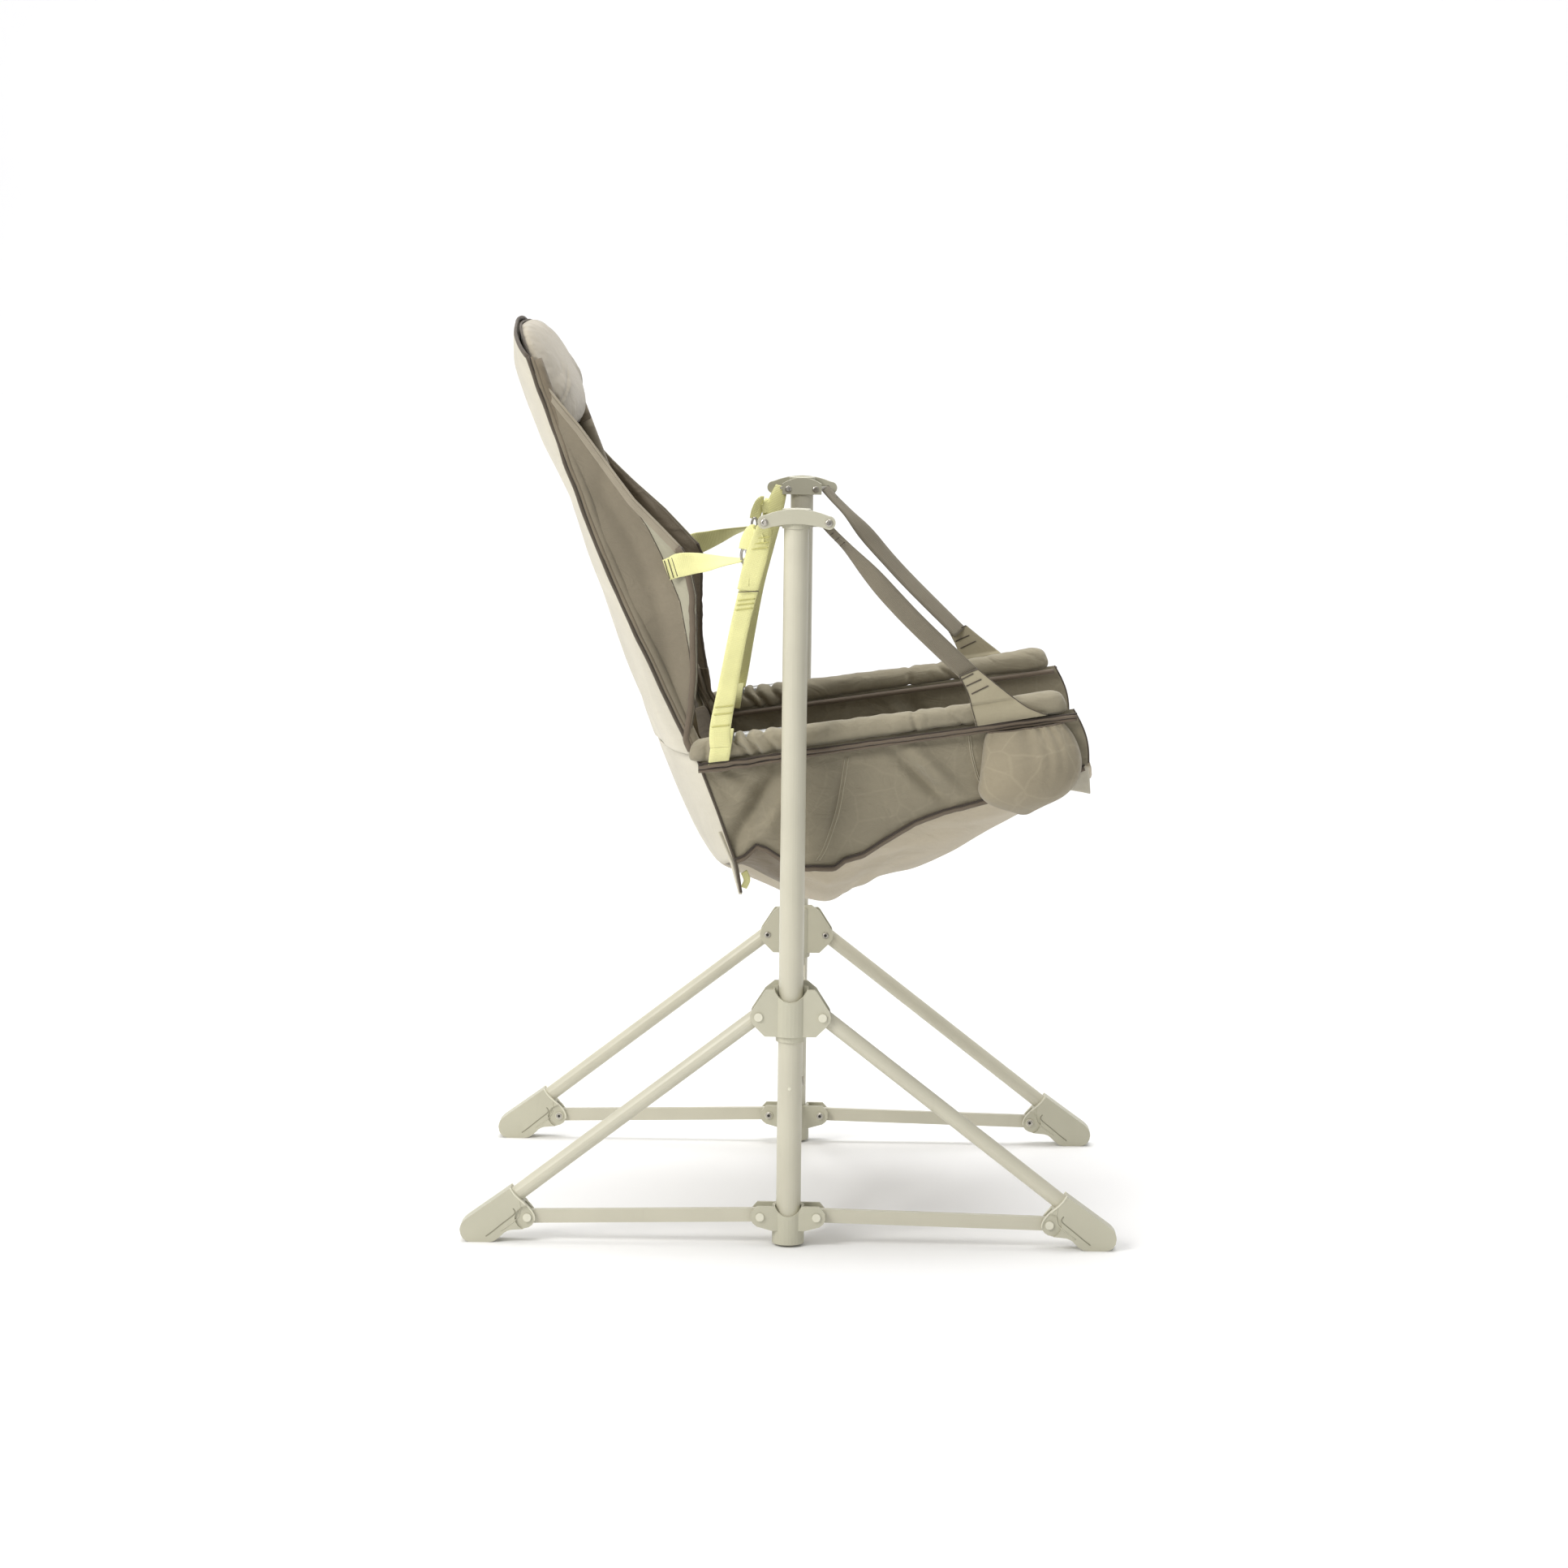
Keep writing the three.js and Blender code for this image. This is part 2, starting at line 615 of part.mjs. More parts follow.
function frontStrap(s) {
  const a = vec(42, s * STRAP_TOP_Y, 862);
  const b = vec(228, s * STRAP_LOW_Y, 668);
  const across = vec(b.z - a.z, 0, a.x - b.x).normalize();
  return webbing(a, b, across);
}

function reclineStrap(s) {
  const drop = s < 0 ? 0 : 7;
  return webbing(vec(-136, s * (PANEL_Y + 8), 817 - drop),
    vec(-66, s * (STRAP_TOP_Y - 8), 838 - drop), vec(0, 0, 1), WEB);
}

// -------------------------------------------------------------------------- assembly

for (const [side, s] of Object.entries(SIDES)) {
  const y = s * POST_Y;
  add(`post_${side}`, post(s), 'frame_paint');
  add(`top_bracket_${side}`, topBracket(s), 'hub_plastic');
  add(`lower_hub_${side}`, lowerHub(s), 'hub_plastic');
  add(`mid_hub_${side}`, midHub(s), 'hub_plastic');
  for (const [end, e] of Object.entries(ENDS)) {
    add(`strap_pin_${end}_${side}`, strapPin(s, e), 'fastener');
    add(`strut_pin_${end}_${side}`,
      headedPin(e * LOWER_PIN.x, LOWER_PIN.z, y - EAR_OUT - 0.4, y + EAR_OUT + 0.4), 'fastener');
    add(`leg_rivet_${end}_${side}`, legRivet(s, e), 'fastener');
    add(`leg_${end}_${side}`, leg(s, e), 'frame_paint');
    add(`foot_${end}_${side}`, foot(s, e), 'hub_plastic');
    add(`foot_pin_${end}_${side}`,
      headedPin(e * FOOT_PIN.x, FOOT_PIN.z, y - 10.4, y + 10.4), 'fastener');
    add(`strut_${end}_${side}`, strut(s, e), 'frame_paint');
  }
  add(`arm_pole_${side}`, armPole(s), 'pole');
  add(`arm_pad_${side}`, armPad(s), 'arm_fabric');
  add(`back_pole_${side}`, backPole(s), 'pole');
  add(`side_panel_${side}`, sidePanel(s), 'taupe_fabric');
  add(`wing_${side}`, wing(s), 'taupe_fabric');
  add(`pouch_${side}`, pouch(s), 'taupe_fabric');
  add(`rear_strap_${side}`, rearStrap(s), 'yellow_webbing');
  add(`front_strap_${side}`, frontStrap(s), 'taupe_webbing');
  add(`recline_strap_${side}`, reclineStrap(s), 'yellow_webbing');
}

add('cross_bar_a', crossBar(1), 'frame_paint');
add('cross_bar_b', crossBar(-1), 'frame_paint');
add('cross_pin', crossPin(), 'fastener');
add('seat_pan', seatPan(), 'cream_fabric');
add('back_panel', backPanel(), 'cream_fabric');
add('pillow', pillow(), 'pillow_fabric');

export default chair;
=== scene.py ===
"""Suspended camp chair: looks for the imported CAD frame. Metres, +X front, +Y left, +Z up."""
import math

import bmesh
import bpy
from mathutils import Matrix, Vector, noise


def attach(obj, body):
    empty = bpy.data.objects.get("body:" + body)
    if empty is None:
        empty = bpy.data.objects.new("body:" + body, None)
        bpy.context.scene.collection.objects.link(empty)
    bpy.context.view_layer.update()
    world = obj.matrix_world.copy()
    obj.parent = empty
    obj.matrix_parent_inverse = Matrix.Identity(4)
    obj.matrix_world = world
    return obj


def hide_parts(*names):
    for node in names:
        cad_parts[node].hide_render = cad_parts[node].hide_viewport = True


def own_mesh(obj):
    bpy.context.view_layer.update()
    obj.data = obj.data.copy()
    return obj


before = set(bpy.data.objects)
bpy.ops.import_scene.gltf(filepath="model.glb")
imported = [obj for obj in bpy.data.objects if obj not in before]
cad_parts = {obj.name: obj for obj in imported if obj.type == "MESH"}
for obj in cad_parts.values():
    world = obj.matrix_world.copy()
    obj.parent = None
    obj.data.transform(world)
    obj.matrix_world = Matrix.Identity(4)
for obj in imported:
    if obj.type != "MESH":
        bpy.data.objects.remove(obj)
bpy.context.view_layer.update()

SIDES = {"right": -1, "left": 1}
ENDS = {"front": 1, "rear": -1}
MM = 0.001

POST_Y = 0.295          # post axes
ARM_Y = 0.247           # arm axes
PANEL_Y = 0.243         # side panels
ARM_SLOPE = 0.1498      # rise of the arms towards the front
WAIST = 0.594           # height where the back meets the seat sheet
LOW_SHARE = 2 / 9       # share of the seat sheet's length that is lower back
WEBBING = 0.025         # width of all load-bearing straps
WAVE_UNIT = 0.314       # length over which the wave texture repeats at scale 1


# ------------------------------------------------------------------ small tools

def lin(code):
    """Linear colour of a hex sRGB code."""
    out = []
    for i in (0, 2, 4):
        c = int(code[i:i + 2], 16) / 255
        out.append(c / 12.92 if c <= 0.04045 else ((c + 0.055) / 1.055) ** 2.4)
    return (*out, 1.0)


def lerp(a, b, t):
    """Value a share t of the way from a to b."""
    return a + (b - a) * t


def smooth(t, a=0.0, b=1.0):
    """Eased step from 0 at a to 1 at b."""
    t = min(1.0, max(0.0, (t - a) / (b - a)))
    return t * t * (3 - 2 * t)


def along(rows, key):
    """Value at key on a list of (key, value), straight between its points."""
    for (k0, v0), (k1, v1) in zip(rows, rows[1:]):
        if key <= k1:
            return lerp(v0, v1, min(1.0, max(0.0, (key - k0) / (k1 - k0))))
    return rows[-1][1]


def on_row(row, t):
    """Point a share t of the way along a row of points, rounded over the corners."""
    n = len(row) - 1
    k = min(int(t * n), n - 1)
    f = t * n - k
    p = [row[max(0, k - 1)], row[k], row[k + 1], row[min(n, k + 2)]]
    out = []
    for a, b, c, d in zip(*p):
        m0, m1 = (c - a) / 2, (d - b) / 2
        out.append((2 * f**3 - 3 * f**2 + 1) * b + (f**3 - 2 * f**2 + f) * m0
                   + (3 * f**2 - 2 * f**3) * c + (f**3 - f**2) * m1)
    return out


def ripple(x, y, z, scale, seed=0.0):
    """Repeatable noise between -1 and 1."""
    return noise.noise(Vector((x * scale + seed, y * scale - seed, z * scale + 2 * seed)))


def new_object(name, verts, faces, uvs=None, material=None):
    """Smooth-shaded mesh object; material is one material or a list of them."""
    mesh = bpy.data.meshes.new(name)
    mesh.from_pydata([tuple(v) for v in verts], [], faces)
    if uvs is not None:
        layer = mesh.uv_layers.new(name="UVMap")
        for poly in mesh.polygons:
            for li in poly.loop_indices:
                layer.data[li].uv = uvs[mesh.loops[li].vertex_index]
    for poly in mesh.polygons:
        poly.use_smooth = True
    mesh.validate()
    obj = bpy.data.objects.new(name, mesh)
    bpy.context.scene.collection.objects.link(obj)
    for m in ([material] if material and not isinstance(material, list) else material or []):
        mesh.materials.append(m)
    return obj


def closed_object(name, verts, faces, uvs, material):
    """As new_object, with its normals turned outwards."""
    obj = new_object(name, verts, faces, uvs, material)
    fix_normals(obj)
    return obj


def ring_faces(rings, sides):
    """Quads between a tube's rings of points, and a cap on each end."""
    faces = []
    for i in range(rings - 1):
        for k in range(sides):
            a, b = i * sides + k, i * sides + (k + 1) % sides
            faces.append((a, b, b + sides, a + sides))
    faces.append(tuple(reversed(range(sides))))
    faces.append(tuple((rings - 1) * sides + k for k in range(sides)))
    return faces


def surface(name, fn, nu, nv, material, choose=None):
    """Open quad grid of fn(u, v), u and v from 0 to 1, with its UVs in metres."""
    pts = [[Vector(fn(i / nu, j / nv)) for j in range(nv + 1)] for i in range(nu + 1)]
    verts, uvs = [], []
    mid = nv // 2
    du = [0.0]
    for i in range(nu):
        du.append(du[-1] + (pts[i + 1][mid] - pts[i][mid]).length)
    for i in range(nu + 1):
        run = 0.0
        for j in range(nv + 1):
            if j:
                run += (pts[i][j] - pts[i][j - 1]).length
            verts.append(pts[i][j])
            uvs.append((run, du[i]))
    faces = [(i * (nv + 1) + j, (i + 1) * (nv + 1) + j, (i + 1) * (nv + 1) + j + 1,
              i * (nv + 1) + j + 1) for i in range(nu) for j in range(nv)]
    obj = new_object(name, verts, faces, uvs, material)
    if choose:
        for poly in obj.data.polygons:
            poly.material_index = choose(poly.center)
    area = sum(p.area for p in obj.data.polygons)
    wide = max(uvs[i * (nv + 1) + nv][0] for i in range(nu + 1))
    least = 0.011
    obj["cut"] = [max(wide, least), max(du[-1], least), area]
    return obj


def modify(obj, kind, **values):
    """Adds a modifier with the given settings."""
    mod = obj.modifiers.new(kind.lower(), kind)
    for key, value in values.items():
        setattr(mod, key, value)
    return mod


def baked(obj):
    """Applies all of an object's modifiers."""
    bpy.context.view_layer.update()
    deps = bpy.context.evaluated_depsgraph_get()
    mesh = bpy.data.meshes.new_from_object(obj.evaluated_get(deps))
    obj.modifiers.clear()
    old, obj.data = obj.data, mesh
    mesh.name = obj.name
    bpy.data.meshes.remove(old)
    return obj


def cloth_sheet(obj, thick, inner=0, levels=1):
    """Gives an open surface its thickness; inner counts materials on for the inner face."""
    modify(obj, "SOLIDIFY", thickness=thick, offset=0.0, material_offset=inner,
           material_offset_rim=0)
    if levels:
        modify(obj, "SUBSURF", levels=levels, render_levels=levels)
    return baked(obj)


def frames_along(pts, up):
    """Tangent and a steady sideways direction at each point of a polyline."""
    out = []
    side = None
    for i, p in enumerate(pts):
        a, b = pts[max(0, i - 1)], pts[min(len(pts) - 1, i + 1)]
        t = (b - a).normalized()
        want = up if side is None else side
        side = (want - t * want.dot(t))
        side = side.normalized() if side.length > 1e-6 else t.orthogonal().normalized()
        out.append((t, side))
    return out


def curve_points(points, n):
    """n points along the rounded row."""
    rows = [tuple(p) for p in points]
    return [Vector(on_row(rows, i / (n - 1))) for i in range(n)]


def cord_tube(name, pts, radius, material, sides=8, flat=1.0, up=Vector((0, 1, 0))):
    """Closed round or flattened tube on a polyline, for piping, bindings and rings."""
    pts = [Vector(p) for p in pts]
    verts, uvs = [], []
    run = 0.0
    for i, (p, (t, s)) in enumerate(zip(pts, frames_along(pts, up))):
        n = t.cross(s)
        run += (p - pts[i - 1]).length if i else 0.0
        for k in range(sides):
            a = 2 * math.pi * k / sides
            verts.append(p + s * (radius * math.cos(a)) + n * (radius * flat * math.sin(a)))
            uvs.append((k / sides * 2 * math.pi * radius, run))
    return closed_object(name, verts, ring_faces(len(pts), sides), uvs, material)


def fix_normals(obj):
    """Turns all normals outwards."""
    bm = bmesh.new()
    bm.from_mesh(obj.data)
    bmesh.ops.recalc_face_normals(bm, faces=bm.faces)
    bm.to_mesh(obj.data)
    bm.free()


def web(name, points, across, width, material, thick=0.0018, n=28, widths=None):
    """Webbing: a strip with rounded edges. across is its width direction at each point."""
    pts = curve_points(points, n)
    dirs = curve_points(across, n) if isinstance(across, list) else [Vector(across)] * n
    wide = curve_points([(w, 0, 0) for w in widths], n) if widths else [Vector((width, 0, 0))] * n
    section = [(-0.5, 0.0), (-0.46, 0.5), (-0.25, 0.5), (0.0, 0.5), (0.25, 0.5), (0.46, 0.5),
               (0.5, 0.0), (0.46, -0.5), (0.25, -0.5), (0.0, -0.5), (-0.25, -0.5), (-0.46, -0.5)]
    verts, uvs = [], []
    run = 0.0
    for i, p in enumerate(pts):
        a, b = pts[max(0, i - 1)], pts[min(n - 1, i + 1)]
        t = (b - a).normalized()
        d = dirs[i] - t * dirs[i].dot(t)
        d.normalize()
        up = t.cross(d)
        run += (p - pts[i - 1]).length if i else 0.0
        for sx, sy in section:
            verts.append(p + d * (sx * wide[i].x) + up * (sy * thick))
            uvs.append((sx * width, run))
    return closed_object(name, verts, ring_faces(n, len(section)), uvs, material)


def stitch_bar(name, centre, direction, length, material, lift, radius=0.00055):
    """A short raised row of stitching."""
    c, d = Vector(centre) + Vector(lift), Vector(direction).normalized()
    pts = [c + d * (length * (i / 8 - 0.5)) for i in range(9)]
    return cord_tube(name, pts, radius, material, sides=6)


def join(name, objs):
    """One object out of several, all already in the row frame."""
    bm = bmesh.new()
    mats = []
    for o in objs:
        start = len(bm.faces)
        bm.from_mesh(o.data)
        bm.faces.ensure_lookup_table()
        remap = []
        for m in o.data.materials:
            if m not in mats:
                mats.append(m)
            remap.append(mats.index(m))
        for f in bm.faces[start:]:
            f.material_index = remap[f.material_index] if remap else 0
    mesh = bpy.data.meshes.new(name)
    bm.to_mesh(mesh)
    bm.free()
    for o in objs:
        old = o.data
        bpy.data.objects.remove(o)
        bpy.data.meshes.remove(old)
    for m in mats:
        mesh.materials.append(m)
    obj = bpy.data.objects.new(name, mesh)
    bpy.context.scene.collection.objects.link(obj)
    return obj


# --------------------------------------------------------------------- materials

class Nodes:
    """A material under construction."""

    def __init__(self, name, colour, rough, metal=0.0):
        self.mat = bpy.data.materials.new(name)
        self.mat.use_nodes = True
        self.tree = self.mat.node_tree
        self.shader = self.tree.nodes["Principled BSDF"]
        self.shader.inputs["Base Color"].default_value = colour
        self.shader.inputs["Roughness"].default_value = rough
        self.shader.inputs["Metallic"].default_value = metal
        self.coords = self.tree.nodes.new("ShaderNodeTexCoord")

    def add(self, kind, **values):
        node = self.tree.nodes.new(kind)
        for key, value in values.items():
            if hasattr(node, key):
                setattr(node, key, value)
            else:
                node.inputs[key.replace("_", " ")].default_value = value
        return node

    def link(self, a, b):
        self.tree.links.new(a, b)

    def space(self, which, scale=(1, 1, 1)):
        m = self.add("ShaderNodeMapping")
        m.inputs["Scale"].default_value = scale
        self.link(self.coords.outputs[which], m.inputs["Vector"])
        return m.outputs["Vector"]

    def noise(self, which, scale, detail=3.0, distort=0.0, stretch=(1, 1, 1)):
        n = self.add("ShaderNodeTexNoise", Scale=scale, Detail=detail, Distortion=distort)
        self.link(self.space(which, stretch), n.inputs["Vector"])
        return n.outputs["Fac"]

    def wave(self, which, axis, scale, shape="SIN", distort=0.0):
        n = self.add("ShaderNodeTexWave", bands_direction=axis, wave_profile=shape,
                     Scale=scale, Distortion=distort)
        self.link(self.space(which), n.inputs["Vector"])
        return n.outputs["Fac"]

    def math(self, op, a, b):
        n = self.add("ShaderNodeMath", operation=op)
        for k, x in enumerate((a, b)):
            if isinstance(x, (int, float)):
                n.inputs[k].default_value = x
            else:
                self.link(x, n.inputs[k])
        return n.outputs["Value"]

    def span(self, fac, a0, a1, b0, b1):
        n = self.add("ShaderNodeMapRange")
        for k, v in zip(("From Min", "From Max", "To Min", "To Max"), (a0, a1, b0, b1)):
            n.inputs[k].default_value = v
        self.link(fac, n.inputs["Value"])
        return n.outputs["Result"]

    def mix(self, fac, a, b, blend="MIX"):
        n = self.add("ShaderNodeMix", data_type="RGBA", blend_type=blend)
        for k, x in ((0, fac), (6, a), (7, b)):
            if isinstance(x, (int, float, tuple)):
                n.inputs[k].default_value = x
            else:
                self.link(x, n.inputs[k])
        return n.outputs[2]

    def bump(self, height, distance, strength=1.0, under=None):
        n = self.add("ShaderNodeBump", Distance=distance, Strength=strength)
        self.link(height, n.inputs["Height"])
        if under is not None:
            self.link(under, n.inputs["Normal"])
        return n.outputs["Normal"]

    def done(self, colour=None, normal=None, rough=None):
        for socket, value in (("Base Color", colour), ("Normal", normal), ("Roughness", rough)):
            if value is not None:
                self.link(value, self.shader.inputs[socket])
        return self.mat


def shade(colour, k):
    """A colour made k times as bright."""
    return (*[min(1.0, c * k) for c in colour[:3]], 1.0)


def cloth(name, code, which="UV", cells=0.0, crease=1.0, sheen=0.25):
    """Fine plain weave with soft creases and, where asked, a faint printed cell pattern."""
    base, rough, pitch = lin(code), 0.86, 0.0011
    m = Nodes(name, base, rough)
    m.shader.inputs["Sheen Weight"].default_value = sheen
    m.shader.inputs["Sheen Roughness"].default_value = 0.45
    m.shader.inputs["Specular IOR Level"].default_value = 0.3
    scale = WAVE_UNIT / pitch
    warp = m.wave(which, "X", scale)
    weft = m.wave(which, "Y", scale) if which == "UV" else m.wave(which, "Z", scale)
    weave = m.math("MULTIPLY", warp, weft)
    soft = m.noise("Object", 9.0, 4.0, 0.6)
    fine = m.noise("Object", 260.0, 2.0)
    tone = m.mix(m.span(soft, 0.3, 0.7, 0.0, 1.0), shade(base, 0.9), shade(base, 1.08))
    tone = m.mix(m.span(fine, 0.35, 0.65, 0.0, 0.10), tone, shade(base, 0.72))
    tone = m.mix(m.span(weave, 0.0, 1.0, 0.12, 0.0), tone, shade(base, 0.6))
    if cells:
        v = m.add("ShaderNodeTexVoronoi", feature="DISTANCE_TO_EDGE", Scale=23.0)
        bent = m.add("ShaderNodeVectorMath", operation="ADD")
        wobble = m.add("ShaderNodeTexNoise", Scale=12.0, Detail=2.0)
        m.link(m.coords.outputs["Object"], wobble.inputs["Vector"])
        shrink = m.add("ShaderNodeVectorMath", operation="SCALE")
        shrink.inputs["Scale"].default_value = 0.03
        m.link(wobble.outputs["Color"], shrink.inputs[0])
        m.link(m.coords.outputs["Object"], bent.inputs[0])
        m.link(shrink.outputs["Vector"], bent.inputs[1])
        m.link(bent.outputs["Vector"], v.inputs["Vector"])
        line = m.span(v.outputs["Distance"], 0.0, 0.045, cells, 0.0)
        tone = m.mix(line, tone, shade(base, 1.6))
    folds = m.noise("Object", 22.0, 3.0, 1.4, (1.0, 0.6, 1.6))
    normal = m.bump(folds, 0.004 * crease, 0.55)
    normal = m.bump(fine, 0.0004, 0.5, normal)
    normal = m.bump(weave, 0.0003, 0.6, normal)
    return m.done(tone, normal, m.span(soft, 0.2, 0.8, rough - 0.06, rough + 0.05))


def webbing(name, code, pitch=0.0016):
    """Ribbed webbing: cross ribs and fine lengthwise yarns."""
    base = lin(code)
    m = Nodes(name, base, 0.78)
    m.shader.inputs["Sheen Weight"].default_value = 0.2
    yarn = 0.0019
    ribs = m.wave("UV", "Y", WAVE_UNIT / pitch)
    yarns = m.wave("UV", "X", WAVE_UNIT / yarn)
    weave = m.math("MULTIPLY", ribs, m.span(yarns, 0.0, 1.0, 0.45, 1.0))
    soft = m.noise("Object", 30.0, 3.0)
    tone = m.mix(m.span(soft, 0.3, 0.7, 0.0, 1.0), shade(base, 0.93), shade(base, 1.05))
    tone = m.mix(m.span(weave, 0.0, 0.9, 0.22, 0.0), tone, shade(base, 0.55))
    normal = m.bump(weave, 0.0006, 0.7)
    normal = m.bump(soft, 0.002, 0.35, normal)
    return m.done(tone, normal)


def painted(name, code, rough=0.42, metal=0.0, grain=700.0, depth=0.00012, coat=0.15):
    """Powder-coated tube or satin moulding with a fine texture and light handling marks."""
    base = lin(code)
    m = Nodes(name, base, rough, metal)
    m.shader.inputs["Coat Weight"].default_value = coat
    m.shader.inputs["Coat Roughness"].default_value = 0.35
    peel = m.noise("Object", grain, 2.0)
    cloud = m.noise("Object", 14.0, 4.0)
    scuff = m.noise("Object", 55.0, 6.0, 0.8, (1, 1, 0.25))
    tone = m.mix(m.span(cloud, 0.3, 0.7, 0.0, 1.0), shade(base, 0.96), shade(base, 1.03))
    tone = m.mix(m.span(scuff, 0.62, 0.75, 0.0, 0.12), tone, shade(base, 0.75))
    normal = m.bump(peel, depth, 0.6)
    return m.done(tone, normal, m.span(scuff, 0.3, 0.8, rough - 0.06, rough + 0.12))


def steel(name, code, rough=0.3):
    """Bare turned metal."""
    base = lin(code)
    m = Nodes(name, base, rough, 1.0)
    turned = m.noise("Object", 900.0, 2.0, 0.0, (1, 0.1, 1))
    return m.done(None, m.bump(turned, 0.0001, 0.5), m.span(turned, 0.3, 0.7, rough, rough + 0.15))


PAINT = painted("PaintedTube", "c8c4b1")
PLASTIC = painted("MouldedHub", "bfbca8", 0.5, 0.0, 420.0, 0.0002, 0.05)
# Darker paint for the feet's groove lines: painted shade in the groove.
GROOVE_SHADE = painted("GrooveShade", "8f8c78", 0.6)
# Near-black for the insides of screw sockets: painted shade in the recess.
SOCKET_SHADE = painted("ScrewSocketShade", "3a3833", 0.5)
STEEL = steel("Fastener", "bdb9b0")
RIVET = painted("PaintedRivet", "dcd9c6", 0.38)
POLE = steel("SeatPole", "9a9a98", 0.38)
CREAM = cloth("CreamFabric", "d3cdbb")
BOTTOM = cloth("SeatBottomFabric", "bfb49d", crease=1.6)
TAUPE = cloth("TaupeFabric", "8a816f", crease=1.0)
TAUPE_CELLS = cloth("TaupeCells", "918975", cells=0.11, crease=1.7)
GUSSET = cloth("RearGusset", "7f7462", crease=1.8)
SAGE = cloth("SageFabric", "aeaa96", crease=0.8)
INNER = cloth("InnerFabric", "a0977f", cells=0.1, crease=1.3)
ARM = cloth("ArmFabric", "9c947f", which="Object", crease=1.7)
PILLOW = cloth("PillowFabric", "aea593", which="Object", crease=1.0, sheen=0.35)
ARM_PATCH = cloth("PatchFabric", "b2a98f", crease=0.6)
POUCH = cloth("PouchFabric", "9c927c", cells=0.17, crease=0.9)
# Dark cloth laid over the insides of the back, seat and wings and on the rear gussets, as painted
# shade.
PAINTED_SHADE = cloth("PaintedShadeFabric", "6b604e", crease=1.4)
BINDING = webbing("RidgeBinding", "a39986", 0.0012)
PIPING = webbing("DarkPiping", "564b3e", 0.0012)
BROWN = webbing("BrownBinding", "736656", 0.0012)
# Near-black cord colour for seams and between piping: painted shadow.
SEAM_SHADOW = webbing("SeamShadow", "3f352b", 0.0010)
YELLOW = webbing("YellowWebbing", "f1eeaa")
TAUPE_WEB = webbing("TaupeWebbing", "857d6b")
THREAD_Y = webbing("YellowThread", "d9d585", 0.0008)
THREAD_D = webbing("DarkThread", "5d5446", 0.0008)
THREAD_L = webbing("LightThread", "b8af98", 0.0008)


# ----------------------------------------------------------------- camera and set

def build_camera():
    """Long lens from the right side, a little above, tilted by well under a degree."""
    az, el, roll = math.radians(0.77), math.radians(7.745), math.radians(0.69)
    distance = 5.529
    back = Vector((math.sin(az) * math.cos(el), -math.cos(az) * math.cos(el), math.sin(el)))
    target = Vector((-0.0154, 0.0, 0.5266))
    data = bpy.data.cameras.new("Camera")
    data.lens = 99.84
    data.sensor_width = 36.0
    data.clip_end = 60.0
    cam = bpy.data.objects.new("Camera", data)
    bpy.context.scene.collection.objects.link(cam)
    turn = (-back).to_track_quat("-Z", "Y").to_matrix().to_4x4()
    cam.matrix_world = (Matrix.Translation(target + back * distance) @ turn
                        @ Matrix.Rotation(roll, 4, "Z"))
    bpy.context.scene.camera = cam


def area_light(name, place, aim, size, watts, colour):
    """Square lamp at a place, facing another."""
    data = bpy.data.lights.new(name, "AREA")
    data.shape = "SQUARE"
    data.size = size
    data.energy = watts
    data.color = colour
    obj = bpy.data.objects.new(name, data)
    obj.matrix_world = (Matrix.Translation(Vector(place))
                        @ (Vector(aim) - Vector(place)).to_track_quat("-Z", "Y").to_matrix().to_4x4())
    bpy.context.scene.collection.objects.link(obj)


def build_set():
    """Pale floor that curves up into a backdrop, a big soft key from the left and a fill."""
    section = [(-5.0, 0.0), (-1.5, 0.0), (0.0, 0.0), (2.0, 0.0), (3.5, 0.0)]
    section += [(3.5 + 2.0 * math.sin(a), 2.0 - 2.0 * math.cos(a))
                for a in [math.pi / 2 * i / 12 for i in range(1, 13)]]
    section += [(5.5, 6.0)]
    verts = [(x, y, z) for x in (-9.0, 9.0) for y, z in section]
    n = len(section)
    faces = [(i, i + n, i + n + 1, i + 1) for i in range(n - 1)]
    m = Nodes("StudioFloor", (0.93, 0.93, 0.935, 1.0), 0.9)
    m.shader.inputs["Specular IOR Level"].default_value = 0.1
    grain = m.noise("Object", 3.0, 3.0)
    floor = new_object("StudioFloor", verts, faces, None,
                       m.done(m.mix(grain, (0.92, 0.92, 0.925, 1), (0.94, 0.94, 0.945, 1))))
    world = bpy.data.worlds.new("Studio")
    world.use_nodes = True
    world.node_tree.nodes["Background"].inputs["Color"].default_value = (1.0, 1.0, 1.0, 1.0)
    world.node_tree.nodes["Background"].inputs["Strength"].default_value = 0.48
    bpy.context.scene.world = world
    area_light("Key", (-1.75, -1.85, 2.0), (0.0, 0.0, 0.55), 1.3, 50.0, (1.0, 0.985, 0.95))
    area_light("Top", (0.3, 0.6, 4.2), (0.0, 0.1, 0.4), 3.2, 48.0, (1.0, 1.0, 1.0))
    area_light("Backdrop", (0.0, 1.2, 5.2), (0.0, 4.6, 0.8), 3.5, 170.0, (1.0, 1.0, 1.0))
    bpy.context.scene.view_settings.view_transform = "Standard"


# ------------------------------------------------------------------ stand details

CAD_LOOKS = {
    "post": PAINT, "leg": PAINT, "strut": PAINT, "cross_bar": PAINT,
    "top_bracket": PLASTIC, "lower_hub": PLASTIC, "mid_hub": PLASTIC, "foot": PLASTIC,
    "strap_pin": STEEL, "strut_pin": RIVET, "leg_rivet": RIVET, "foot_pin": RIVET,
    "cross_pin": STEEL, "arm_pole": POLE, "back_pole": POLE,
}
# Edge rounding in millimetres; the rest get a smaller one.
ROUNDED = {"top_bracket": 2.2, "lower_hub": 1.5, "mid_hub": 1.5, "foot": 2.0, "strut": 0.9,
           "cross_bar": 0.9}


